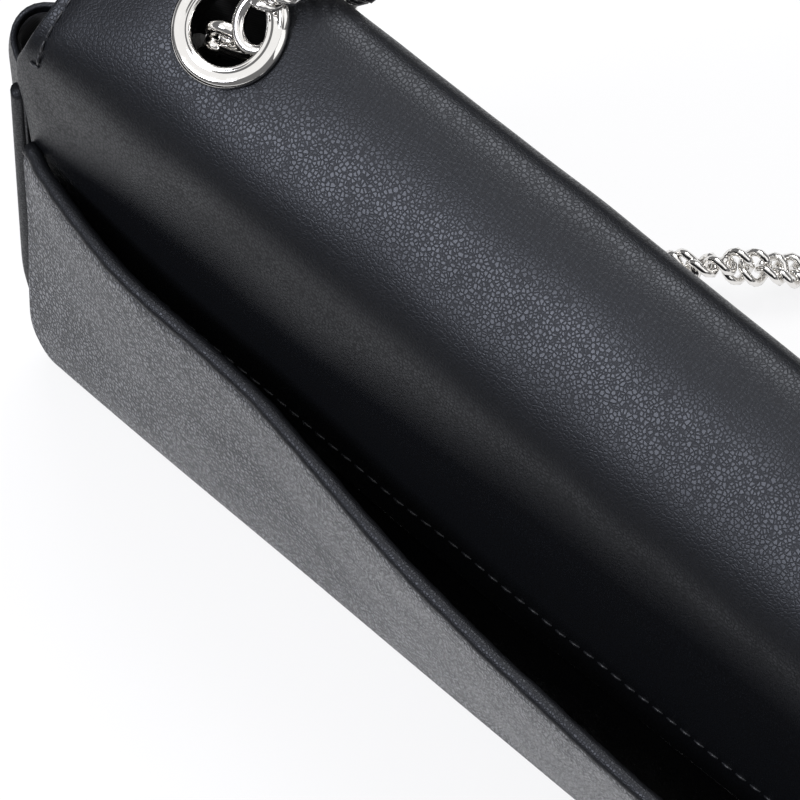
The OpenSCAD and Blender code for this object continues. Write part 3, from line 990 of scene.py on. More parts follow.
@dataclass
class ChainStrap:
    """Twisted curb chain that runs through both eyelets, over the crest and along the floor."""

    finishes: Finishes
    link: LinkShape = LinkShape()
    # The same route as in the part's source, from the left eyelet to the right one
    half_route: tuple = (
        (95, 5.8, 142.7), (95, 7.2, 145.4), (94.6, 8.6, 149), (92.8, 8.4, 153), (90.3, 6.8, 155.4),
        (88.4, 4, 156.8), (86.4, 1, 157.8), (84.8, -2.1, 158.4), (82.6, -6, 158.6), (81, -9.6, 158.6),
        (80.2, -12.3, 157.8), (79.8, -14.4, 155.9), (80, -16.5, 152.6), (80.8, -17.5, 150.6),
        (84, -19.2, 144.5), (90, -21.1, 134), (96, -25.4, 112), (100, -30.1, 88))
    floor_route: tuple = (
        (103, -34.8, 64), (105, -39.2, 42), (106, -42.4, 22), (106, -46, 9.6), (103, -52, 5.2),
        (94, -59, 4.8), (80, -64, 4.8), (64, -67, 4.8), (51, -71, 4.8), (41, -78, 4.8), (31, -87, 4.8),
        (20, -98, 4.8), (7, -109, 4.8), (-9, -120, 4.8), (-28, -129, 4.8), (-50, -133, 4.8),
        (-73, -130, 4.8), (-93, -119, 4.8), (-107, -102, 4.8), (-113, -84, 4.8), (-113, -66, 4.8),
        (-110, -53, 5.2), (-107, -46, 9.6), (-106, -42.4, 22), (-105, -39.2, 42), (-103, -34.8, 64))
    # Directions that the flat side faces in the hole, on the crest, down the front and on the floor
    hole_facing: tuple = (0.55, 0.8, 0.3)
    crest_facing: tuple = (0.0, 0.15, 1.0)
    front_facing: tuple = (0.0, -1.0, 0.2)
    floor_facing: tuple = (0.0, 0.0, 1.0)
    # Start and length of the ramps over which the flat side turns: forwards in Y, to the floor in Z,
    # and out of the hole along the route; the first one counts above a height
    facing_front: tuple = (-9, -8)
    facing_floor: tuple = (24, -18)
    facing_hole: tuple = (4, 12)
    facing_high: float = 60
    # On the crest the route moves outwards and backwards over a ramp in Z and one in Y, and settles
    # over a ramp in Z
    crest_up: tuple = (151, 5)
    crest_back: tuple = (-17, 5)
    crest_shift: float = 2.8
    settle_up: tuple = (150, 6)
    crest_settle: float = 1.2
    # Down the front it lies nearer to the flap, by a share of the settling, over ramps in Z and Y
    front_up: tuple = (70, 20)
    front_past: tuple = (-12, -3)
    front_share: float = 0.6
    # Length at each end that the end ring takes from the chain
    ring_reach: float = 18.5
    # The kinked place on the floor, in X and Y
    floor_high: float = 6
    kink_place: tuple = (36, -82.5)
    kink_reach: float = 13.0
    kink_lift: float = 8.0
    # Roll of the links in radians, and how fast it changes from link to link: everywhere, and in the kink
    roll: tuple = (0.08, 2.3)
    kink_roll: tuple = (1.3, 1.7)
    path_steps: int = 400

    def kink_gap(self, point: Point) -> float:
        """Distance from the kinked place, as a share of the kink's reach."""
        gap = math.hypot(point[0] - self.kink_place[0], point[1] - self.kink_place[1])
        return gap / self.kink_reach

    def route(self) -> list[np.ndarray]:
        """Points of the centre line, settled onto the crest where the flat links lie lower.

        Returns:
            The points in millimetres, from the left eyelet to the right one.
        """
        mirrored = [(-x, y, z) for x, y, z in reversed(self.half_route)]
        points = [np.array(p, float) for p in (*self.half_route, *self.floor_route, *mirrored)]
        for p in points:
            shift = self.crest_shift * ramp(p[2], *self.crest_up) * ramp(p[1], *self.crest_back)
            p[0] += math.copysign(shift, p[0])
            p[1] -= shift
            p[2] -= self.crest_settle * ramp(p[2], *self.settle_up)
            if p[2] < self.floor_high:
                p[2] += self.kink_lift * ease(1 - self.kink_gap(p))
            on_front = ramp(p[2], *self.front_up) * ramp(p[1], *self.front_past)
            p[1] += self.crest_settle * self.front_share * on_front
        return points

    def facing(self, point: np.ndarray, place: float, length: float) -> Vector:
        """Direction that the flat side faces at a point of the route.

        Args:
            point: The point.
            place: Its distance along the route.
            length: Length of the whole route.

        Returns:
            The unit direction.
        """
        end = min(place, length - place)
        crest = Vector(self.crest_facing)
        front = Vector(self.front_facing)
        flat = front
        if point[2] > self.facing_high:
            flat = crest.lerp(front, ramp(point[1], *self.facing_front))
        flat = flat.lerp(Vector(self.floor_facing), ramp(point[2], *self.facing_floor))
        hole = Vector(self.hole_facing)
        if point[0] < 0:
            hole.x = -hole.x
        return hole.lerp(flat, ramp(end, *self.facing_hole)).normalized()

    def matrices(self, line: SmoothLine) -> list[Matrix]:
        """Places of the links along the line.

        Args:
            line: The chain's centre line.

        Returns:
            A place and turn for each link.
        """
        first, last = self.ring_reach, line.length - self.ring_reach
        places = []
        for k, place in enumerate(evenly(first, last, round((last - first) / self.link.pitch))):
            point = line.at(place)
            heading = Vector(line.heading(place, 1.6))
            flat = square_to(self.facing(point, place, line.length), heading)
            kink = ease(1.2 - self.kink_gap(point)) if point[2] < self.floor_high + self.kink_lift else 0.0
            roll = self.roll[0] * math.sin(self.roll[1] * k)
            roll += kink * self.kink_roll[0] * math.sin(self.kink_roll[1] * k)
            flat = Matrix.Rotation(roll, 3, heading) @ flat
            places.append(frame_of(heading, flat.cross(heading), flat, point))
        return places

    def build(self) -> bpy.types.Object:
        """Returns:
            The chain.
        """
        line = SmoothLine(self.route())
        first, last = self.ring_reach, line.length - self.ring_reach
        links = self.matrices(line)
        chain = new_object(scatter(self.link.build(), links), "twisted_chain")
        dress(chain, self.finishes.metal, Slot.METAL)
        path = [line.at(place) * MM for place in evenly(first, last, self.path_steps)]
        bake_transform(chain)
        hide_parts("chain_strap")
        LOG.info("chain: %.1f mm long, %d links", last - first, len(links))
        return chain


# Eyelets with their bars

@dataclass
class Eyelets:
    """Turned metal eyelets clenched through the flap, with the bars that hold the chain's ends."""

    form: BagForm
    finishes: Finishes
    span: float = 190
    seat_y: float = 8.0
    seat_z: float = 147.0
    seat_tilt: float = math.radians(27.1)
    hole_r: float = 8.3
    outer_r: float = 12.8
    height: float = 1.95
    barrel_r: float = 9.4
    barrel_low: float = -4.9
    # The flap's hole is wider than the barrel by a gap, and its mesh is cut away to a radius first
    hole_gap: float = 0.5
    cut_r: float = 11.2
    # The bar under the hole: its turn from the bag's length, and the roll that sets its square
    # section on edge
    bar_turn: float = math.radians(18)
    bar_roll: float = math.radians(45)
    bar_depth: float = -6.6
    bar_down: float = 4.2
    bar_r: float = 2.0
    bar_half: float = 11
    collar_at: float = 3.4
    # The eye on the bar: its place along the bar, how far it stands off it, and its lean
    eye_at: float = 0.3
    eye_up: float = 2.0
    eye_lean: float = math.radians(18)
    eye: LinkShape = LinkShape(wire=3.2, length=10.4, width=9.0, twist=0, turn=0, steps=28, sides=12)
    # Centre of the end ring from the seat: across, up the slope and out; then the way that its face
    # and its long side look, in the same three directions
    ring: LinkShape = LinkShape(wire=3.0, length=15.2, width=12.4, twist=0, turn=0, steps=32, sides=12)
    ring_centre: tuple = (-4.8, 4.9, 0.6)
    ring_face: tuple = (-0.1, -0.2, 0.97)
    ring_long: tuple = (0.2, 1.0, 0.35)
    steps: int = 72

    def seat(self, side: Side) -> Matrix:
        """Place and tilt of an eyelet's seat."""
        move = Matrix.Translation((side.value * self.span / 2, self.seat_y, self.seat_z))
        return move @ Matrix.Rotation(-self.seat_tilt, 4, "X")

    def hole(self, side: Side) -> Hole:
        """The hole that the eyelet needs in the flap.

        Args:
            side: End of the bag.

        Returns:
            The hole.
        """
        seat = self.seat(side)
        out = seat.to_3x3() @ Vector((0, 0, 1))
        return Hole(seat.translation, out, self.barrel_r + self.hole_gap, self.cut_r)

    def ring_profile(self) -> list[Point]:
        """Outline of the eyelet: barrel, rolled inner lip, flat face and bevelled rim.

        Returns:
            Radius and height of each point.
        """
        lip, rim, top = self.hole_r, self.outer_r, self.height
        return [(lip, self.barrel_low), (lip, top - 0.85), (lip + 0.12, top - 0.4), (lip + 0.45, top - 0.16),
                (lip + 0.8, top - 0.2), (lip + 1.0, top - 0.34), (lip + 1.22, top - 0.3),
                (lip + 1.45, top - 0.06), (lip + 1.8, top), (rim - 1.35, top), (rim - 1.05, top - 0.05),
                (rim - 0.3, top - 0.75), (rim - 0.06, top - 1.1), (rim, top - 1.5), (rim - 0.1, 0.1),
                (rim - 0.4, -0.05), (self.barrel_r, -0.05), (self.barrel_r, self.barrel_low)]

    def bar_profile(self) -> list[Point]:
        """Outline of a bar from its axis outwards, with rounded ends and a collar beside its eye.

        Returns:
            Radius and height of each point.
        """
        r, half, mid = self.bar_r, self.bar_half, self.collar_at
        return [(0, -half), (r * 0.7, -half), (r, -half + 0.5), (r, mid - 2), (r + 0.7, mid - 1.6),
                (r + 0.7, mid + 1.6), (r, mid + 2), (r, half - 0.5), (r * 0.7, half), (0, half)]

    def bar_place(self, side: Side) -> Matrix:
        """Place of a bar: X along it, towards its nearer end of the bag, and Z out of the hole."""
        lay = Matrix.Translation((0, -self.bar_down, self.bar_depth))
        return self.slope(side) @ lay @ Matrix.Rotation(-self.bar_turn, 4, "Z")

    def slope(self, side: Side) -> Matrix:
        """Frame of a seat: X towards the nearer end of the bag, Y up the slope, Z out of the hole."""
        return self.seat(side) @ Matrix.Diagonal((1, -1, 1, 1)) @ Matrix.Diagonal((side.value, 1, 1, 1))

    def ring_place(self, side: Side) -> Matrix:
        """Place of the larger ring that joins the chain to the bar's eye.

        Args:
            side: End of the bag.

        Returns:
            The ring's place and turn.
        """
        face = Vector(self.ring_face).normalized()
        long = square_to(Vector(self.ring_long), face)
        return self.slope(side) @ frame_of(long, face.cross(long), face, self.ring_centre)

    def bar_mesh(self, side: Side) -> bmesh.types.BMesh:
        """Square bar with the eye that stands on it, in its place under the hole.

        Args:
            side: End of the bag.

        Returns:
            The bar and its eye as one mesh.
        """
        level = Matrix.Rotation(self.bar_roll, 4, "X") @ Matrix.Rotation(math.pi / 2, 4, "Y")
        bar = moved(lathe(self.bar_profile(), 4), level)
        stand = (Matrix.Translation((0, self.eye_up, 0))
                 @ Matrix.Rotation(math.pi / 2 - self.eye_lean, 4, "X")
                 @ Matrix.Translation((self.eye_at, self.eye.width / 2 - self.eye.wire / 2, 0)))
        join(bar, moved(self.eye.build(), stand))
        return moved(bar, self.bar_place(side))

    def build(self) -> None:
        """Makes the eyelets, bars and end rings of both ends."""
        for side in Side:
            end = side.name.lower()
            eyelet = moved(lathe(self.ring_profile(), self.steps), self.seat(side))
            ring = moved(self.ring.build(), self.ring_place(side))
            for mesh, name, node in ((eyelet, f"turned_eyelet_{end}", f"eyelet_{end}"),
                                     (self.bar_mesh(side), f"toggle_bar_{end}", f"chain_bar_{end}"),
                                     (ring, f"end_ring_{end}", None)):
                fix(dress(new_object(mesh, name), self.finishes.metal, Slot.METAL), FLAP, node)


# Back leather and flap

@dataclass
class BackAndFlap:
    """One sheet of leather that is the upper back and, over the crest, the flap, with its lining.

    A place on it is a share of its half width and a distance along its outline from the back's seam.
    """

    form: BagForm
    finishes: Finishes
    eyelets: Eyelets
    seam_z: float = 58
    crest_d: float = 44
    edge_z: float = 42
    edge_out: float = 3
    flap_inset: float = 2.6
    corner: float = 24
    # The flap's ends droop outwards of a place, by a power of the way to the edge
    droop: float = 5
    droop_from: float = 107.8
    droop_power: float = 1.5
    fall_y_share: float = 1.03
    fall_start_share: float = 0.7
    # Depth share, rise share and droop share of the points over the crest
    top_shares: tuple = ((0, 0, 0), (0.018, 0.2, 0.25), (0.09, 0.41, 0.6), (0.239, 0.59, 1),
                         (0.38, 0.706, 1), (0.523, 0.809, 1), (0.66, 0.889, 1), (0.807, 0.96, 1),
                         (0.92, 1, 1), (0.991, 0.882, 0.95))
    turned_edge: float = 5.0
    stitch_in: float = 3.1
    stitch_pitch: float = 3.8
    # Depth and half width of the grooves that the stitches pull into the leather
    groove_deep: float = 0.42
    seam_deep: float = 0.35
    groove_half: float = 0.9
    seam_up: float = 10.0
    # Depth past which the sheet is the upright back, whose ends are tucked in low and flare out
    # high; each ramp is a height and a length
    back_from: float = 20
    end_tuck: float = 1.6
    tuck_down: tuple = (104, -24)
    end_flare: float = 1.7
    flare_up: tuple = (99, 10)
    flare_down: tuple = (124, -9)
    # Height, wavelength and seed of the sags
    sags: tuple = ((0.55, 34, 3.1), (0.3, 13, 7.7))
    # The swelling over the crest, the one inside the flap's stitches, and the back's rolled edge
    crest_puff: float = 1.5
    puff_at: float = 101.0
    puff_reach: float = 13.0
    edge_puff: float = 0.25
    edge_roll: float = 0.6
    # Ramps of the sags away from an eyelet's centre, and of the swelling towards the ends
    seat_clear: tuple = (13, 10)
    puff_ends: tuple = (112, -60)
    edge_steps: tuple = (0, 0.8, 1.9, 3.1, 4.4, 6.6, 10, 15)
    steps: tuple = (0.02, 0.8)
    outline: SoftLine = field(init=False)
    hinge_at: float = field(init=False)

    def __post_init__(self) -> None:
        """Works out the outline in depth and height, with each point's share of the droop."""
        form = self.form
        rise = form.crest_z - form.hinge_z
        fall = (form.back_y - self.crest_d * self.fall_y_share, form.hinge_z + rise * self.fall_start_share)
        edge = (-form.back_y - self.edge_out, self.edge_z)
        back = [(form.back_y, self.seam_z, 0), (form.back_y, (self.seam_z + form.hinge_z) / 2, 0)]
        top = [(form.back_y - self.crest_d * d, form.hinge_z + rise * h, k) for d, h, k in self.top_shares]
        front = [(fall[0] + (edge[0] - fall[0]) * t, fall[1] + (edge[1] - fall[1]) * t, 0.9 * (1 - t))
                 for t in (0.02, 0.2, 0.4, 0.6, 0.8, 1)]
        self.outline = SoftLine(back + top + front, spread=2.4)
        self.hinge_at = form.hinge_z - self.seam_z

    @property
    def flap_half(self) -> float:
        """Half width of the flap."""
        return self.form.half_w - self.flap_inset

    def half(self, s: float) -> float:
        """Half width of the sheet.

        Args:
            s: Distance along the outline.

        Returns:
            The half width there.
        """
        y, z, _ = self.outline.at(s)
        below = self.edge_z + self.corner - z
        if y < 0 < below:
            return self.flap_half - self.corner + math.sqrt(max(0.0, self.corner ** 2 - below ** 2))
        tucked = 0.0
        if y > self.back_from:
            tucked = self.end_tuck * ramp(z, *self.tuck_down)
            tucked -= self.end_flare * ramp(z, *self.flare_up) * ramp(z, *self.flare_down)
        on_flap = ramp(s, self.hinge_at - 6, 26)
        return self.form.half_w - tucked + (self.flap_half - self.form.half_w) * on_flap

    def bare(self, share: float, s: float) -> Vector:
        """Point of the sheet without its relief.

        Args:
            share: Share of the half width.
            s: Distance along the outline.

        Returns:
            The point.
        """
        y, z, droop = self.outline.at(s)
        x = share * self.half(s)
        past = held((abs(x) - self.droop_from) / (self.flap_half - self.droop_from))
        swell = self.form.back_swell(x, z) if y > self.back_from and z < self.form.hinge_z else 0.0
        return Vector((x, y + swell, z - self.droop * past ** self.droop_power * droop))

    def normal(self, share: float, s: float) -> Vector:
        """Outward direction of the sheet."""
        s = held(s, 1, self.outline.length - 1)
        return face_way(self.bare, held(share, -0.97, 0.97), s, self.steps)

    def edge_gap(self, share: float, s: float) -> float:
        """Distance to the nearest free edge of the flap."""
        return min(self.half(s) * (1 - abs(share)), self.outline.length - s)

    def relief(self, share: float, s: float) -> float:
        """Sags, swellings and seam grooves of the outer face.

        Args:
            share: Share of the half width.
            s: Distance along the outline.

        Returns:
            The height over the bare sheet.
        """
        point = self.bare(share, s)
        quiet = 1.0
        for side in Side:
            seat = self.eyelets.seat(side).translation
            quiet *= ramp((point - seat).length, *self.seat_clear)
        gap = self.edge_gap(share, s)
        on_flap = ramp(s, self.hinge_at, 6)
        crest = bell(s - self.puff_at, self.puff_reach) * ramp(abs(point.x), *self.puff_ends)
        sag = unevenness(point, self.sags) + self.crest_puff * crest
        groove = self.groove_deep * bell(gap - self.stitch_in, self.groove_half) * on_flap
        seam = self.seam_deep * bell(s - self.seam_up, self.groove_half)
        puff = self.edge_puff * bell(gap - 6.5, 2.2) * on_flap
        rolled = self.edge_roll * ease(1 - self.half(s) * (1 - abs(share)) / 7) ** 1.5 * (1 - on_flap)
        return quiet * sag * ease(gap / 6) - groove - seam + puff - rolled

    def outer(self, share: float, s: float) -> Vector:
        """Point of the outer face."""
        return self.bare(share, s) + self.normal(share, s) * self.relief(share, s)

    def under(self, depth: float) -> Place:
        """Gives the place function of a layer at a depth under the bare sheet."""
        return lambda share, s: self.bare(share, s) - self.normal(share, s) * depth

    def inner(self, share: float, s: float) -> Vector:
        """Point of the inner face; the edge is turned in and so as thick as the whole flap.

        Args:
            share: Share of the half width.
            s: Distance along the outline.

        Returns:
            The point.
        """
        gap = self.edge_gap(share, s)
        turned = ramp(gap, self.turned_edge + 1.2, -2.4) * ramp(s, self.hinge_at, 6)
        depth = self.form.leather_t + (self.form.wall_t - 0.2 - self.form.leather_t) * turned
        return self.bare(share, s) - self.normal(share, s) * depth

    def build_leather(self) -> None:
        """Makes the sheet of leather."""
        columns = edge_shares(self.form.half_w, self.edge_steps, 6.0)
        rows = from_edges(self.outline.length, self.edge_steps, 5.0)
        holes = [self.eyelets.hole(side) for side in Side]
        bm = shell(columns, rows, self.outer, self.inner, holes)
        sheet = dress(new_object(bm, "back_and_flap_leather", 1), self.finishes.calf, Slot.LEATHER)
        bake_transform(sheet)
        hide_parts("back_panel", "flap_leather")

    def build_lining(self) -> None:
        """Makes the lining of the flap, inside the turned edge."""
        limit = 1 - self.turned_edge / self.flap_half
        rows = evenly(self.hinge_at + 2, self.outline.length - self.turned_edge, 40)
        holes = [self.eyelets.hole(side) for side in Side]
        bm = shell(evenly(-limit, limit, 40), rows, self.under(self.form.lining_in),
                   self.under(self.form.wall_t), holes)
        cloth = dress(new_object(bm, "flap_lining_cloth", 1), self.finishes.lining, Slot.LINING)
        fix(cloth, FLAP, "flap_lining")

    def stitch_outline(self) -> list[tuple[float, float]]:
        """Stitched line round the flap, from left to right.

        Returns:
            Share and distance of each of its points.
        """
        inner = self.corner - self.stitch_in
        side = self.flap_half - self.stitch_in
        start = self.hinge_at + 2
        low = self.outline.place_of(1, self.edge_z + self.corner, after=self.hinge_at + 60)
        line = [(side + (self.stitch_in - 0.3) * (1 - k / 4), start) for k in range(4)]
        line += [(side, s) for s in evenly(start, low, 60)[:-1]]
        line += [(side - inner + inner * math.cos(angle), low + inner * math.sin(angle))
                 for angle in evenly(0, math.pi / 2, 24)]
        line += [(x, low + inner) for x in evenly(side - inner, 0, 30)[1:]]
        line += [(-x, s) for x, s in reversed(line[:-1])]
        return [(x / self.half(min(s, self.outline.length)), s) for x, s in line]

    def build_stitches(self) -> None:
        """Makes the stitches round the flap and along the seam on the back."""
        seam = [(k / 40 * 0.97, self.seam_up) for k in range(-40, 41)]
        stitch = Stitch(self.stitch_pitch)
        for name, line, body in (("flap_stitches", self.stitch_outline(), None),
                                 ("back_seam_stitches", seam, BODY)):
            sewn = new_object(scatter(stitch.shape(), stitch.places(line, self.outer, self.normal)), name)
            dress(sewn, self.finishes.thread, Slot.LEATHER)
            if body:
                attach(sewn, body)
            else:
                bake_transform(sewn)

    def build(self) -> None:
        """Makes the leather, its lining and its stitches."""
        self.build_leather()
        self.build_lining()
        self.build_stitches()


@dataclass(frozen=True)
class Stitch:
    """One stitch of a seam: a short thread with rounded ends that stands a little askew."""

    pitch: float
    length: float = 2.9
    radius: float = 0.36
    bow: float = 0.12
    lift: float = 0.12
    askew: float = 0.07
    # Half the length over which the seam's way is read
    reach: float = 1.2

    def shape(self) -> bmesh.types.BMesh:
        """Makes the stitch along X.

        Returns:
            The stitch in millimetres.
        """
        bm = bmesh.new()
        bmesh.ops.create_uvsphere(bm, u_segments=6, v_segments=4, radius=self.radius,
                                  matrix=Matrix.Rotation(math.pi / 2, 4, "Y"))
        for vert in bm.verts:
            if abs(vert.co.x) > 0.01:
                vert.co.x += math.copysign(self.length / 2 - self.radius, vert.co.x)
            vert.co.z += self.bow * (1 - (2 * vert.co.x / self.length) ** 2)
        return bm

    def places(self, line: Sequence[tuple[float, float]], face: Place, normal: Place) -> list[Matrix]:
        """Places of the stitches along a line on a face.

        Args:
            line: Column and row places that the seam follows.
            face: Gives the face's point for a column and a row.
            normal: Gives the outward direction there.

        Returns:
            A place and turn for each stitch.
        """
        points = np.array([face(u, v) for u, v in line])
        ways = np.array([normal(u, v) for u, v in line])
        along = np.concatenate([[0], np.cumsum(np.linalg.norm(np.diff(points, axis=0), axis=1))])
        count = int(along[-1] / self.pitch)
        frames = []
        for k in range(count):
            middle = (k + 0.5) * along[-1] / count
            ends = [np.array([np.interp(middle + d, along, c) for c in points.T])
                    for d in (-self.reach, self.reach)]
            heading = Vector(ends[1] - ends[0]).normalized()
            out = square_to(Vector([float(np.interp(middle, along, c)) for c in ways.T]), heading)
            heading = Matrix.Rotation(self.askew, 3, out) @ heading
            centre = Vector((ends[0] + ends[1]) / 2) + out * self.lift
            frames.append(frame_of(heading, out.cross(heading), out, centre))
        return frames


# Open pocket on the back

@dataclass
class BackPocket:
    """Outer leather of the open pocket with its rolled lip and lining.

    A place on it is a share of the half width and a distance up the panel from the base.
    """

    form: BagForm
    finishes: Finishes
    height: float = 86
    gape: float = 22
    lip_r: float = 1.8
    curl_r: float = 5.0
    # How far the ends are drawn in near the lip and stand out near the base, with the height and
    # the length of each ramp
    end_in: float = 1.7
    in_up: tuple = (14, 56)
    low_out: float = 0.4
    out_down: tuple = (56, -40)
    lean_power: float = 1.08
    # Place from the right end at 0 to the left end at 1, and share of the gape
    gape_shares: tuple = (
        (0, 0), (0.045, 0.36), (0.1, 0.72), (0.16, 0.95), (0.22, 1.03), (0.3, 0.985), (0.38, 0.92),
        (0.45, 0.86), (0.53, 0.765), (0.61, 0.62), (0.7, 0.45), (0.78, 0.405), (0.84, 0.395),
        (0.89, 0.32), (0.945, 0.19), (1, 0))
    gape_spread: float = 0.018
    # Height, wavelength and seed of the sags, and the share of them that is left at the lip
    sags: tuple = ((1.7, 46, 5.3), (0.7, 15, 1.9))
    lip_sag: float = 0.3
    seam_deep: float = 0.5
    edge_steps: tuple = (0, 0.8, 1.8, 3.0, 5, 8)
    low_steps: tuple = (0, 1, 2.2, 3.6, 5, 7)
    steps: tuple = (0.012, 0.8)
    gape_at: Callable[[float], float] = field(init=False)

    def __post_init__(self) -> None:
        """Smooths the table of the gape."""
        self.gape_at = soft_table(self.gape_shares, self.gape_spread)

    @property
    def thickness(self) -> float:
        """Thickness of the panel with its lining."""
        return self.form.leather_t + self.form.layer_gap + self.form.lining_t

    def bare(self, share: float, v: float) -> Vector:
        """Point of the panel's outer face without its relief.

        Args:
            share: Share of the half width.
            v: Distance up the panel; below the curl's radius it curls under.

        Returns:
            The point.
        """
        form = self.form
        curl = max(0.0, self.curl_r - v) / self.curl_r
        s = max(v, self.curl_r) / self.height
        out = self.gape * self.gape_at(share / 2 + 0.5) * ramp(abs(share), 1, -0.04)
        z = s * math.sqrt(self.height ** 2 - out ** 2)
        ends = self.low_out * ramp(z, *self.out_down) - self.end_in * ramp(z, *self.in_up)
        low = z - self.curl_r * math.sin(curl)
        x = share * (form.half_at(low) + ends)
        y = form.back_y + form.back_swell(x, z) + form.fit_gap + self.thickness + out * s ** self.lean_power
        return Vector((x, y - self.curl_r * (1 - math.cos(curl)), low))

    def normal(self, share: float, v: float) -> Vector:
        """Outward direction of the panel."""
        v = held(v, -0.8, self.height - 0.8)
        return face_way(self.bare, held(share, -0.98, 0.98), v, self.steps)

    def relief(self, share: float, v: float) -> float:
        """Sags of the panel and the groove under its lip.

        Args:
            share: Share of the half width.
            v: Distance up the panel.

        Returns:
            The height over the bare face.
        """
        gap = self.form.half_w * (1 - abs(share))
        loose = ramp(gap, 0, 8) * ramp(v, 2, 14)
        loose *= self.lip_sag + (1 - self.lip_sag) * ramp(v, self.height, -22)
        lip_seam = self.seam_deep * bell(self.height - v - 0.4, 1.0)
        return unevenness(self.bare(share, v), self.sags) * loose - lip_seam

    def outer(self, share: float, v: float) -> Vector:
        """Point of the outer face."""
        return self.bare(share, v) + self.normal(share, v) * self.relief(share, v)

    def under(self, depth: float) -> Place:
        """Gives the place function of a layer at a depth under the outer face."""
        return lambda share, v: self.outer(share, v) - self.normal(share, v) * depth

    def build_panel(self) -> None:
        """Makes the outer leather."""
        columns = edge_shares(self.form.half_w, self.edge_steps, 5.0)
        low = self.curl_r * (1 - self.form.curl)
        rows = [low + c for c in from_edges(self.height - low, self.low_steps, 5.0)]
        bm = shell(columns, rows, self.outer, self.under(self.form.leather_t))
        panel = dress(new_object(bm, "pocket_leather", 1), self.finishes.panel, Slot.LEATHER)
        fix(panel, BODY, "back_pocket_panel")

    def build_lining(self) -> None:
        """Makes the pocket's lining."""
        depth = self.form.leather_t + self.form.layer_gap
        bm = shell(evenly(-0.993, 0.993, 60), evenly(6, self.height - 0.4, 20), self.under(depth),
                   self.under(depth + self.form.lining_t))
        cloth = dress(new_object(bm, "pocket_lining_cloth", 1), self.finishes.lining, Slot.LINING)
        fix(cloth, BODY, "back_pocket_lining")

    def lip_point(self, share: float) -> Vector:
        """Centre of the rolled lip.

        Args:
            share: Share of the half width.

        Returns:
            The point.
        """
        top = self.height
        along = (self.outer(share, top) - self.outer(share, top - 2)).normalized()
        middle = self.outer(share, top) - self.normal(share, top) * self.thickness / 2
        return middle + along * (self.lip_r * 0.72)

    def build_lip(self) -> None:
        """Makes the rolled lip."""
        line = SmoothLine([self.lip_point(share) for share in evenly(-1, 1, 100)])

        def radius(place: float) -> float:
            """Radius of the lip, which is rolled by hand and so not quite even."""
            wave = 0.06 * math.sin(place * 0.9) + 0.05 * math.sin(place * 0.37 + 1)
            return self.lip_r + wave

        bm = tube(line, evenly(0, line.length, 150), radius, 14)
        lip = dress(new_object(bm, "pocket_lip"), self.finishes.edge, Slot.LEATHER)
        fix(lip, BODY, "back_pocket_lip")

    def build(self) -> None:
        """Makes the panel, its lining and its lip."""
        self.build_panel()
        self.build_lining()
        self.build_lip()


# Walls, base and linings

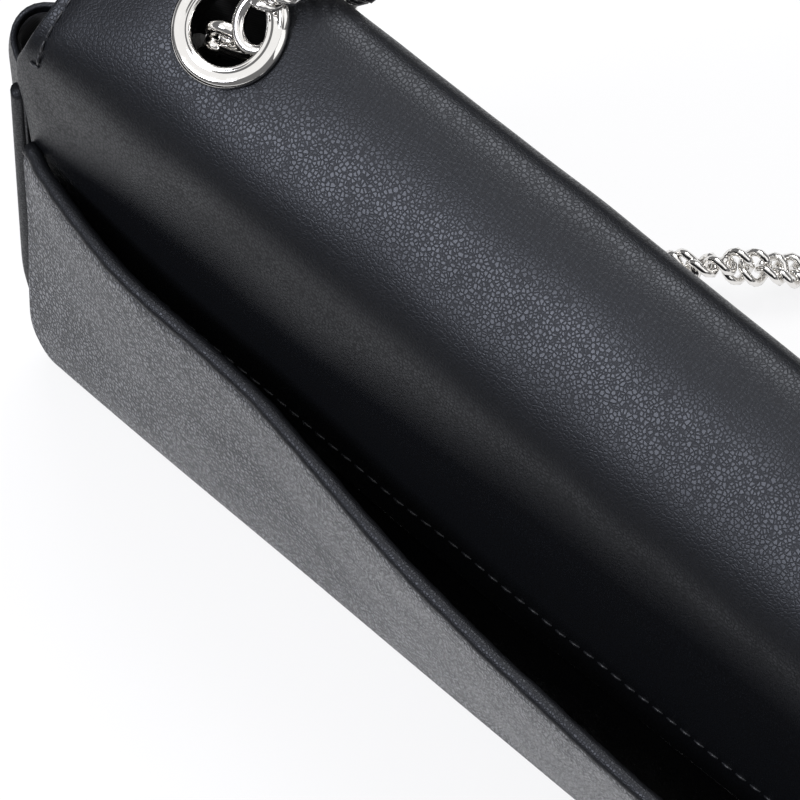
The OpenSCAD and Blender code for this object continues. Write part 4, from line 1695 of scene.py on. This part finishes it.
@dataclass
class BodyWalls:
    """Front panel, wall behind the pocket, base and the linings of the body."""

    form: BagForm
    finishes: Finishes
    curl_r: float = 5.0
    wall_in: float = 1.6
    front_out: tuple = (0, -1, 0.1)
    back_out: tuple = (0, 1, 0)
    base_out: float = 2.5
    edge_steps: tuple = (0, 0.8, 1.9, 3.1, 5, 8)
    steps: tuple = (0.02, 0.6)

    def back(self, share: float, z: float) -> Vector:
        """Point of the back wall's outer face."""
        x = share * self.form.half_at(z)
        return Vector((x, self.form.back_y + self.form.back_swell(x, z), z))

    def front(self, share: float, v: float) -> Vector:
        """Point of the front panel's outer face, which curls under at the base.

        Args:
            share: Share of the half width.
            v: Distance up the panel.

        Returns:
            The point.
        """
        curl = max(0.0, self.curl_r - v) / self.curl_r
        high = max(v, self.curl_r)
        z = high - self.curl_r * math.sin(curl)
        x = share * self.form.half_at(z)
        return Vector((x, self.form.front_face(x, high) + self.curl_r * (1 - math.cos(curl)), z))

    def layer(self, name: str, face: Place, across: Sequence[float], along: Sequence[float], out: Point,
              first: float, second: float, material: bpy.types.Material, slot: Slot, node: str,
              uneven: float = 0.0) -> None:
        """Makes one layer of a wall.

        Args:
            name: Name of the piece.
            face: Outer face of the wall.
            across: Column shares.
            along: Row places.
            out: Rough outward direction, which picks the side of the layer.
            first: Depth of the layer's outer face.
            second: Depth of its inner face.
            material: Finish of the layer.
            slot: Slot of the record.
            node: CAD node that the piece replaces.
            uneven: Height of the soft unevenness.
        """
        low, high = along[0] + self.steps[1], along[-1] - self.steps[1]

        def way(share: float, v: float) -> Vector:
            """Outward direction of the wall."""
            normal = face_way(face, held(share, -0.97, 0.97), held(v, low, high), self.steps)
            return normal if normal.dot(Vector(out)) > 0 else -normal

        def swell(share: float, v: float) -> float:
            """Soft unevenness of the wall, which fades towards its ends."""
            return uneven * ripple(face(share, v), 40, 2.2) * ease((1 - abs(share)) * 12)

        def under(depth: float) -> Place:
            """Gives the place function of a depth under the wall's outer face."""
            return lambda share, v: face(share, v) + way(share, v) * (swell(share, v) - depth)

        bm = shell(across, along, under(first), under(second))
        fix(dress(new_object(bm, name, 1), material, slot), BODY, node)

    def build(self) -> None:
        """Makes the walls, the base and their linings."""
        form, fin = self.form, self.finishes
        fine = edge_shares(form.half_w, self.edge_steps, 8.0)
        plain = evenly(-0.99, 0.99, 32)
        low = self.curl_r * (1 - self.form.curl)
        front_rows = [low + c for c in from_edges(form.front_h - low, self.edge_steps, 7.0)]
        self.layer("front_leather", self.front, fine, front_rows, self.front_out, 0, form.leather_t,
                   fin.calf, Slot.LEATHER, "front_panel", 0.5)
        wall_rows = from_edges(form.hinge_z - 2.8, (1.7, 3, 6, 10), 7.0)
        self.layer("pocket_back_leather", self.back, fine, wall_rows, self.back_out, self.wall_in,
                   self.wall_in + form.leather_t, fin.wall, Slot.LEATHER, "back_wall")
        lining_rows = evenly(3, form.front_h - 1.4, 18)
        self.layer("front_lining_cloth", self.front, plain, lining_rows, self.front_out, form.lining_in,
                   form.wall_t, fin.lining, Slot.LINING, "front_lining")
        back_in = self.wall_in + form.lining_in
        back_rows = evenly(3, form.hinge_z - 2.8, 18)
        self.layer("back_lining_cloth", self.back, plain, back_rows, self.back_out, back_in,
                   back_in + form.lining_t, fin.lining, Slot.LINING, "back_lining")
        self.build_base(plain)

    def build_base(self, across: Sequence[float]) -> None:
        """Makes the base and its lining.

        Args:
            across: Column shares.
        """
        form, fin = self.form, self.finishes
        reach = form.half_w - form.corner_r - 0.6
        half = form.back_y - self.base_out

        def level(z: float) -> Place:
            """Gives the place function of a level sheet at a height."""
            return lambda share, v: Vector((share * reach, v, z))

        base_rows = [y - half for y in from_edges(2 * half, (0, 0.6, 1.6, 3), 6.0)]
        for name, node, low, high, material, slot, inset in (
                ("base_leather", "base_panel", 0.1, form.leather_t, fin.calf, Slot.LEATHER, 0.0),
                ("base_lining_cloth", "base_lining", form.lining_in, form.wall_t, fin.lining,
                 Slot.LINING, 2.4)):
            rows = [y * (1 - inset / form.back_y) for y in base_rows]
            bm = shell(across, rows, level(low), level(high))
            fix(dress(new_object(bm, name, 1), material, slot), BODY, node)


# Gussets

@dataclass
class Gussets:
    """Folded strips at the two ends, with their linings and the welts along the back seams."""

    form: BagForm
    finishes: Finishes
    below_top: float = 4
    drop: float = 11
    fold_depth: float = 17
    fold_power: float = 1.2
    lobe_out: float = 10.5
    # The lobe swells over a ramp of the height's share, and loses some of it over another one
    swell_up: tuple = (0.28, 0.4)
    swell_top: tuple = (0.88, 0.12)
    swell_loss: float = 0.25
    # The welt's radius, how far it stands out of the body and past the lower corner's curve, how far
    # its lower part bulges, and how far under the gusset's top it ends
    welt_r: float = 1.9
    welt_out: float = 2.4
    welt_corner: float = 0.9
    welt_bulge: float = 1.2
    welt_angles: tuple = (24, 40, 56, 73, 90)
    welt_below: float = 8.0
    back_seam: float = 0.7
    front_seam: float = 0.6
    side_gap: float = 0.25
    # Height, wavelength and seed of the unevenness
    wave: tuple = (0.35, 18, 4.4)
    # Place from the front seam at 0 to the back seam at 1, and share of the lobe, fold and drop
    lobe_shares: tuple = ((0, 0), (0.07, 0.7), (0.17, 0.8), (0.33, 0.4), (0.5, 0), (0.6, 0.6), (0.7, 0.95),
                          (0.83, 0.95), (0.93, 0.8), (1, 0))
    fold_shares: tuple = ((0, 0), (0.07, 0), (0.17, 0.12), (0.33, 0.6), (0.5, 1), (0.6, 0.5), (0.7, 0.1),
                          (0.83, 0), (0.93, 0), (1, 0))
    drop_shares: tuple = ((0, 0), (0.5, 0), (0.67, 0), (0.83, 0.12), (0.93, 0.55), (1, 1))
    lobe: Callable[[float], float] = field(init=False)
    fold: Callable[[float], float] = field(init=False)
    fall: Callable[[float], float] = field(init=False)

    def __post_init__(self) -> None:
        """Smooths the tables."""
        self.lobe = soft_table(self.lobe_shares, 0.03)
        self.fold = soft_table(self.fold_shares, 0.035)
        self.fall = soft_table(self.drop_shares, 0.03)

    def point(self, t: float, v: float) -> Vector:
        """Point of the left gusset's outer face.

        Args:
            t: Place across, from the front seam at 0 to the back seam at 1.
            v: Distance along the strip in millimetres, negative round the lower corner.

        Returns:
            The point.
        """
        form = self.form
        high = form.front_h - self.below_top
        if v < 0:
            angle = math.pi / 2 + v / form.corner_r
            x = form.half_w - form.corner_r + form.corner_r * math.sin(angle)
            z = form.corner_r * (1 - math.cos(angle))
        else:
            top = high - self.drop * self.fall(t)
            z = form.corner_r + v / (high - form.corner_r) * (top - form.corner_r)
            rise = held((z - form.corner_r) / (high - form.corner_r))
            seam = ramp(t, 0, 0.05) * ramp(t, 1, -0.05)
            swell = ramp(z / high, *self.swell_up) * (1 - self.swell_loss * ramp(z / high, *self.swell_top))
            lobe = self.lobe_out * swell * self.lobe(t) * seam
            x = form.half_w + lobe - self.fold_depth * rise ** self.fold_power * self.fold(t)
        front = form.front_face(form.half_w, max(z, 0.5)) + self.front_seam
        back = form.back_y - self.back_seam
        return Vector((x + self.side_gap, front + (back - front) * t, max(z, 0.15)))

    def normal(self, t: float, v: float) -> Vector:
        """Outward direction of the left gusset."""
        return -face_way(self.point, held(t, 0.02, 0.98), v, (0.015, 0.8))

    def sheet(self, first: float, second: float, across: Sequence[float], along: Sequence[float],
              side: Side) -> bmesh.types.BMesh:
        """Layer of a gusset.

        Args:
            first: Depth of the layer's outer face.
            second: Depth of its inner face.
            across: Column places.
            along: Row places.
            side: End of the bag.

        Returns:
            The layer, mirrored for the right end.
        """
        height, wavelength, seed = self.wave

        def swell(t: float, v: float) -> float:
            """Soft unevenness of the gusset, which fades towards its seams."""
            uneven = ripple(self.point(t, v), wavelength, seed * side.value)
            return height * uneven * ease(t * 8) * ease((1 - t) * 8)

        def under(depth: float) -> Place:
            """Gives the place function of a depth under the gusset's outer face."""
            return lambda t, v: self.point(t, v) + self.normal(t, v) * (swell(t, v) - depth)

        return moved(shell(across, along, under(first), under(second)),
                     Matrix.Diagonal((side.value, 1, 1, 1)))

    def welt(self, side: Side) -> bmesh.types.BMesh:
        """Welt along the back seam, from the lower corner to below the gusset's top.

        Args:
            side: End of the bag.

        Returns:
            The welt in millimetres.
        """
        form = self.form
        reach = form.corner_r + self.welt_corner
        lowest = self.welt_r + 0.1
        top = form.front_h - self.below_top - self.drop - self.welt_below
        points = [(form.half_w - form.corner_r + reach * math.sin(angle),
                   max(lowest, form.corner_r - reach * math.cos(angle)))
                  for angle in np.radians(self.welt_angles)]
        for k in range(1, 9):
            bulge = self.welt_bulge * (1 - k / 8) * ease(k / 2)
            points.append((form.half_w + self.welt_out + bulge,
                           form.corner_r + (top - form.corner_r) * k / 8))
        line = SmoothLine([(side.value * x, form.back_y - self.welt_r, z) for x, z in points])
        return tube(line, evenly(0, line.length, 60), lambda place: self.welt_r, 12)

    def build(self) -> None:
        """Makes the gussets, linings and welts of both ends."""
        form, fin = self.form, self.finishes
        high = form.front_h - self.below_top - form.corner_r
        low = -form.corner_r * math.pi / 2
        across = [0, 0.03, 0.07, 0.12, 0.18, 0.25, 0.32, 0.38, 0.43, 0.47, 0.5, 0.53, 0.57, 0.62, 0.68,
                  0.75, 0.82, 0.88, 0.93, 0.97, 1]
        along = [low + c for c in from_edges(high - low, (0, 0.8, 2, 4), 5.0)]
        inner_across = evenly(0.03, 0.97, 16)
        inner_along = evenly(low + 4, high - 1.5, 24)
        depth = form.leather_t + form.layer_gap
        for side in Side:
            end = side.name.lower()
            for bm, name, material, slot, node in (
                    (self.sheet(0, form.leather_t, across, along, side), f"gusset_leather_{end}", fin.calf,
                     Slot.LEATHER, f"gusset_{end}"),
                    (self.sheet(depth, depth + form.lining_t, inner_across, inner_along, side),
                     f"gusset_cloth_{end}", fin.lining, Slot.LINING, f"gusset_lining_{end}")):
                fix(dress(new_object(bm, name, 1), material, slot), BODY, node)
            welt = dress(new_object(self.welt(side), f"back_welt_{end}"), fin.edge, Slot.LEATHER)
            fix(welt, BODY, f"side_welt_{end}")


# Boards, washers and catch, which keep the frame's own shapes

def dress_nodes(finishes: Finishes) -> None:
    """Gives the CAD nodes that stay their procedural materials.

    Args:
        finishes: The bag's materials.
    """
    boards = ("base_board", "front_board", "back_board", "flap_board")
    metal = ("eyelet_washer_left", "eyelet_washer_right", "front_magnet", "front_magnet_washer",
             "flap_magnet")
    for names, material in ((boards, finishes.board), (metal, finishes.metal)):
        for name in names:
            node = frame["nodes"][name]
            node.data.materials.clear()
            node.data.materials.append(material)
            LOG.info("%s: %s", name, material.name)


# Studio

@dataclass(frozen=True)
class SoftLamp:
    """Square soft light that looks at a point."""

    name: str
    place: Point
    aim: Point
    size: float
    power: float
    colour: str = "#ffffff"

    def build(self) -> None:
        """Makes the lamp."""
        lamp = bpy.data.lights.new(self.name, "AREA")
        lamp.shape = "SQUARE"
        lamp.size = self.size
        lamp.energy = self.power
        lamp.color = linear(self.colour)[:3]
        thing = bpy.data.objects.new(self.name, lamp)
        thing.location = self.place
        thing.rotation_euler = (Vector(self.aim) - Vector(self.place)).to_track_quat("-Z", "Y").to_euler()
        bpy.context.scene.collection.objects.link(thing)


@dataclass
class Studio:
    """Pale floor, soft lamps and the camera that stands where the photograph was taken."""

    camera_place: tuple = (-552.6, 637.5, 1563.0)
    camera_aim: tuple = (40.5, 16.1, 69.9)
    camera_right: tuple = (-0.73118, -0.68218, 0.0)
    focal_mm: float = 370.5
    sensor_mm: float = 36.0
    floor_m: float = 1.6
    flag_place: tuple = (100.0, 175.0, 48.0)
    flag_size: tuple = (800.0, 2.0, 96.0)
    sky: float = 0.2
    lamps: tuple = (
        SoftLamp("key", (0.56, 1.13, 1.12), (0.0, 0.02, 0.12), 0.5, 15.5, "#f4f6ff"),
        SoftLamp("front top", (0.6, -0.62, 1.5), (0.0, 0.0, 0.12), 0.8, 15.0),
        SoftLamp("overhead", (0.5, 0.35, 2.4), (0.5, 0.35, 0.0), 3.4, 33.0),
        SoftLamp("fill", (-1.2, -0.2, 1.2), (0.0, 0.0, 0.05), 1.2, 5.0))

    def camera(self) -> None:
        """Makes the camera."""
        lens = bpy.data.cameras.new("camera")
        lens.lens = self.focal_mm
        lens.sensor_width = self.sensor_mm
        lens.clip_start, lens.clip_end = 0.05, 50
        thing = bpy.data.objects.new("camera", lens)
        place = Vector(self.camera_place)
        ahead = (Vector(self.camera_aim) - place).normalized()
        right = Vector(self.camera_right)
        right = (right - ahead * right.dot(ahead)).normalized()
        turn = Matrix((right, right.cross(ahead), -ahead)).transposed()
        thing.matrix_world = Matrix.Translation(place * MM) @ turn.to_4x4()
        bpy.context.scene.collection.objects.link(thing)
        bpy.context.scene.camera = thing

    def floor(self) -> None:
        """Makes the floor."""
        bm = bmesh.new()
        bmesh.ops.create_grid(bm, x_segments=2, y_segments=2, size=self.floor_m / 2 / MM)
        sheet = new_object(bm, "floor")
        sheet.data.materials.append(PaleFloor().build())

    def flag(self) -> None:
        """Makes a black card behind the bag, out of the picture, that keeps glare off the back."""
        bm = bmesh.new()
        bmesh.ops.create_cube(bm, size=1.0, matrix=Matrix.Translation(self.flag_place)
                              @ Matrix.Diagonal((*self.flag_size, 1.0)))
        card = new_object(bm, "black_flag")
        material, tree = new_material("black flocked card")
        black = add_node(tree, "ShaderNodeBsdfDiffuse", inputs={"Color": linear("#0c0c0d")})
        close_material(tree, black.outputs["BSDF"])
        card.data.materials.append(material)
        card.visible_camera = False
        card.visible_diffuse = False
        card.visible_shadow = False

    def world(self) -> None:
        """Makes the even light around the bag."""
        world = bpy.data.worlds.new("studio")
        world.use_nodes = True
        tree = world.node_tree
        tree.nodes.clear()
        plain = add_node(tree, "ShaderNodeBackground", inputs={
            "Color": linear("#f8f8fb"), "Strength": self.sky})
        add_node(tree, "ShaderNodeOutputWorld", inputs={"Surface": plain.outputs[0]})
        bpy.context.scene.world = world

    def build(self) -> None:
        """Makes the studio."""
        self.camera()
        self.floor()
        self.flag()
        self.world()
        for lamp in self.lamps:
            lamp.build()
        bpy.context.scene.view_settings.view_transform = "Standard"


def main() -> None:
    """Builds the studio and the bag."""
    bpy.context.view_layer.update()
    form = BagForm.from_frame()
    Studio().build()
    finishes = Finishes()
    ChainStrap(finishes).build()
    eyelets = Eyelets(form, finishes)
    eyelets.build()
    BackAndFlap(form, finishes, eyelets).build()
    BackPocket(form, finishes).build()
    BodyWalls(form, finishes).build()
    Gussets(form, finishes).build()
    dress_nodes(finishes)


if __name__ == "__main__":
    logging.basicConfig(level=logging.INFO, format="%(message)s")
    main()
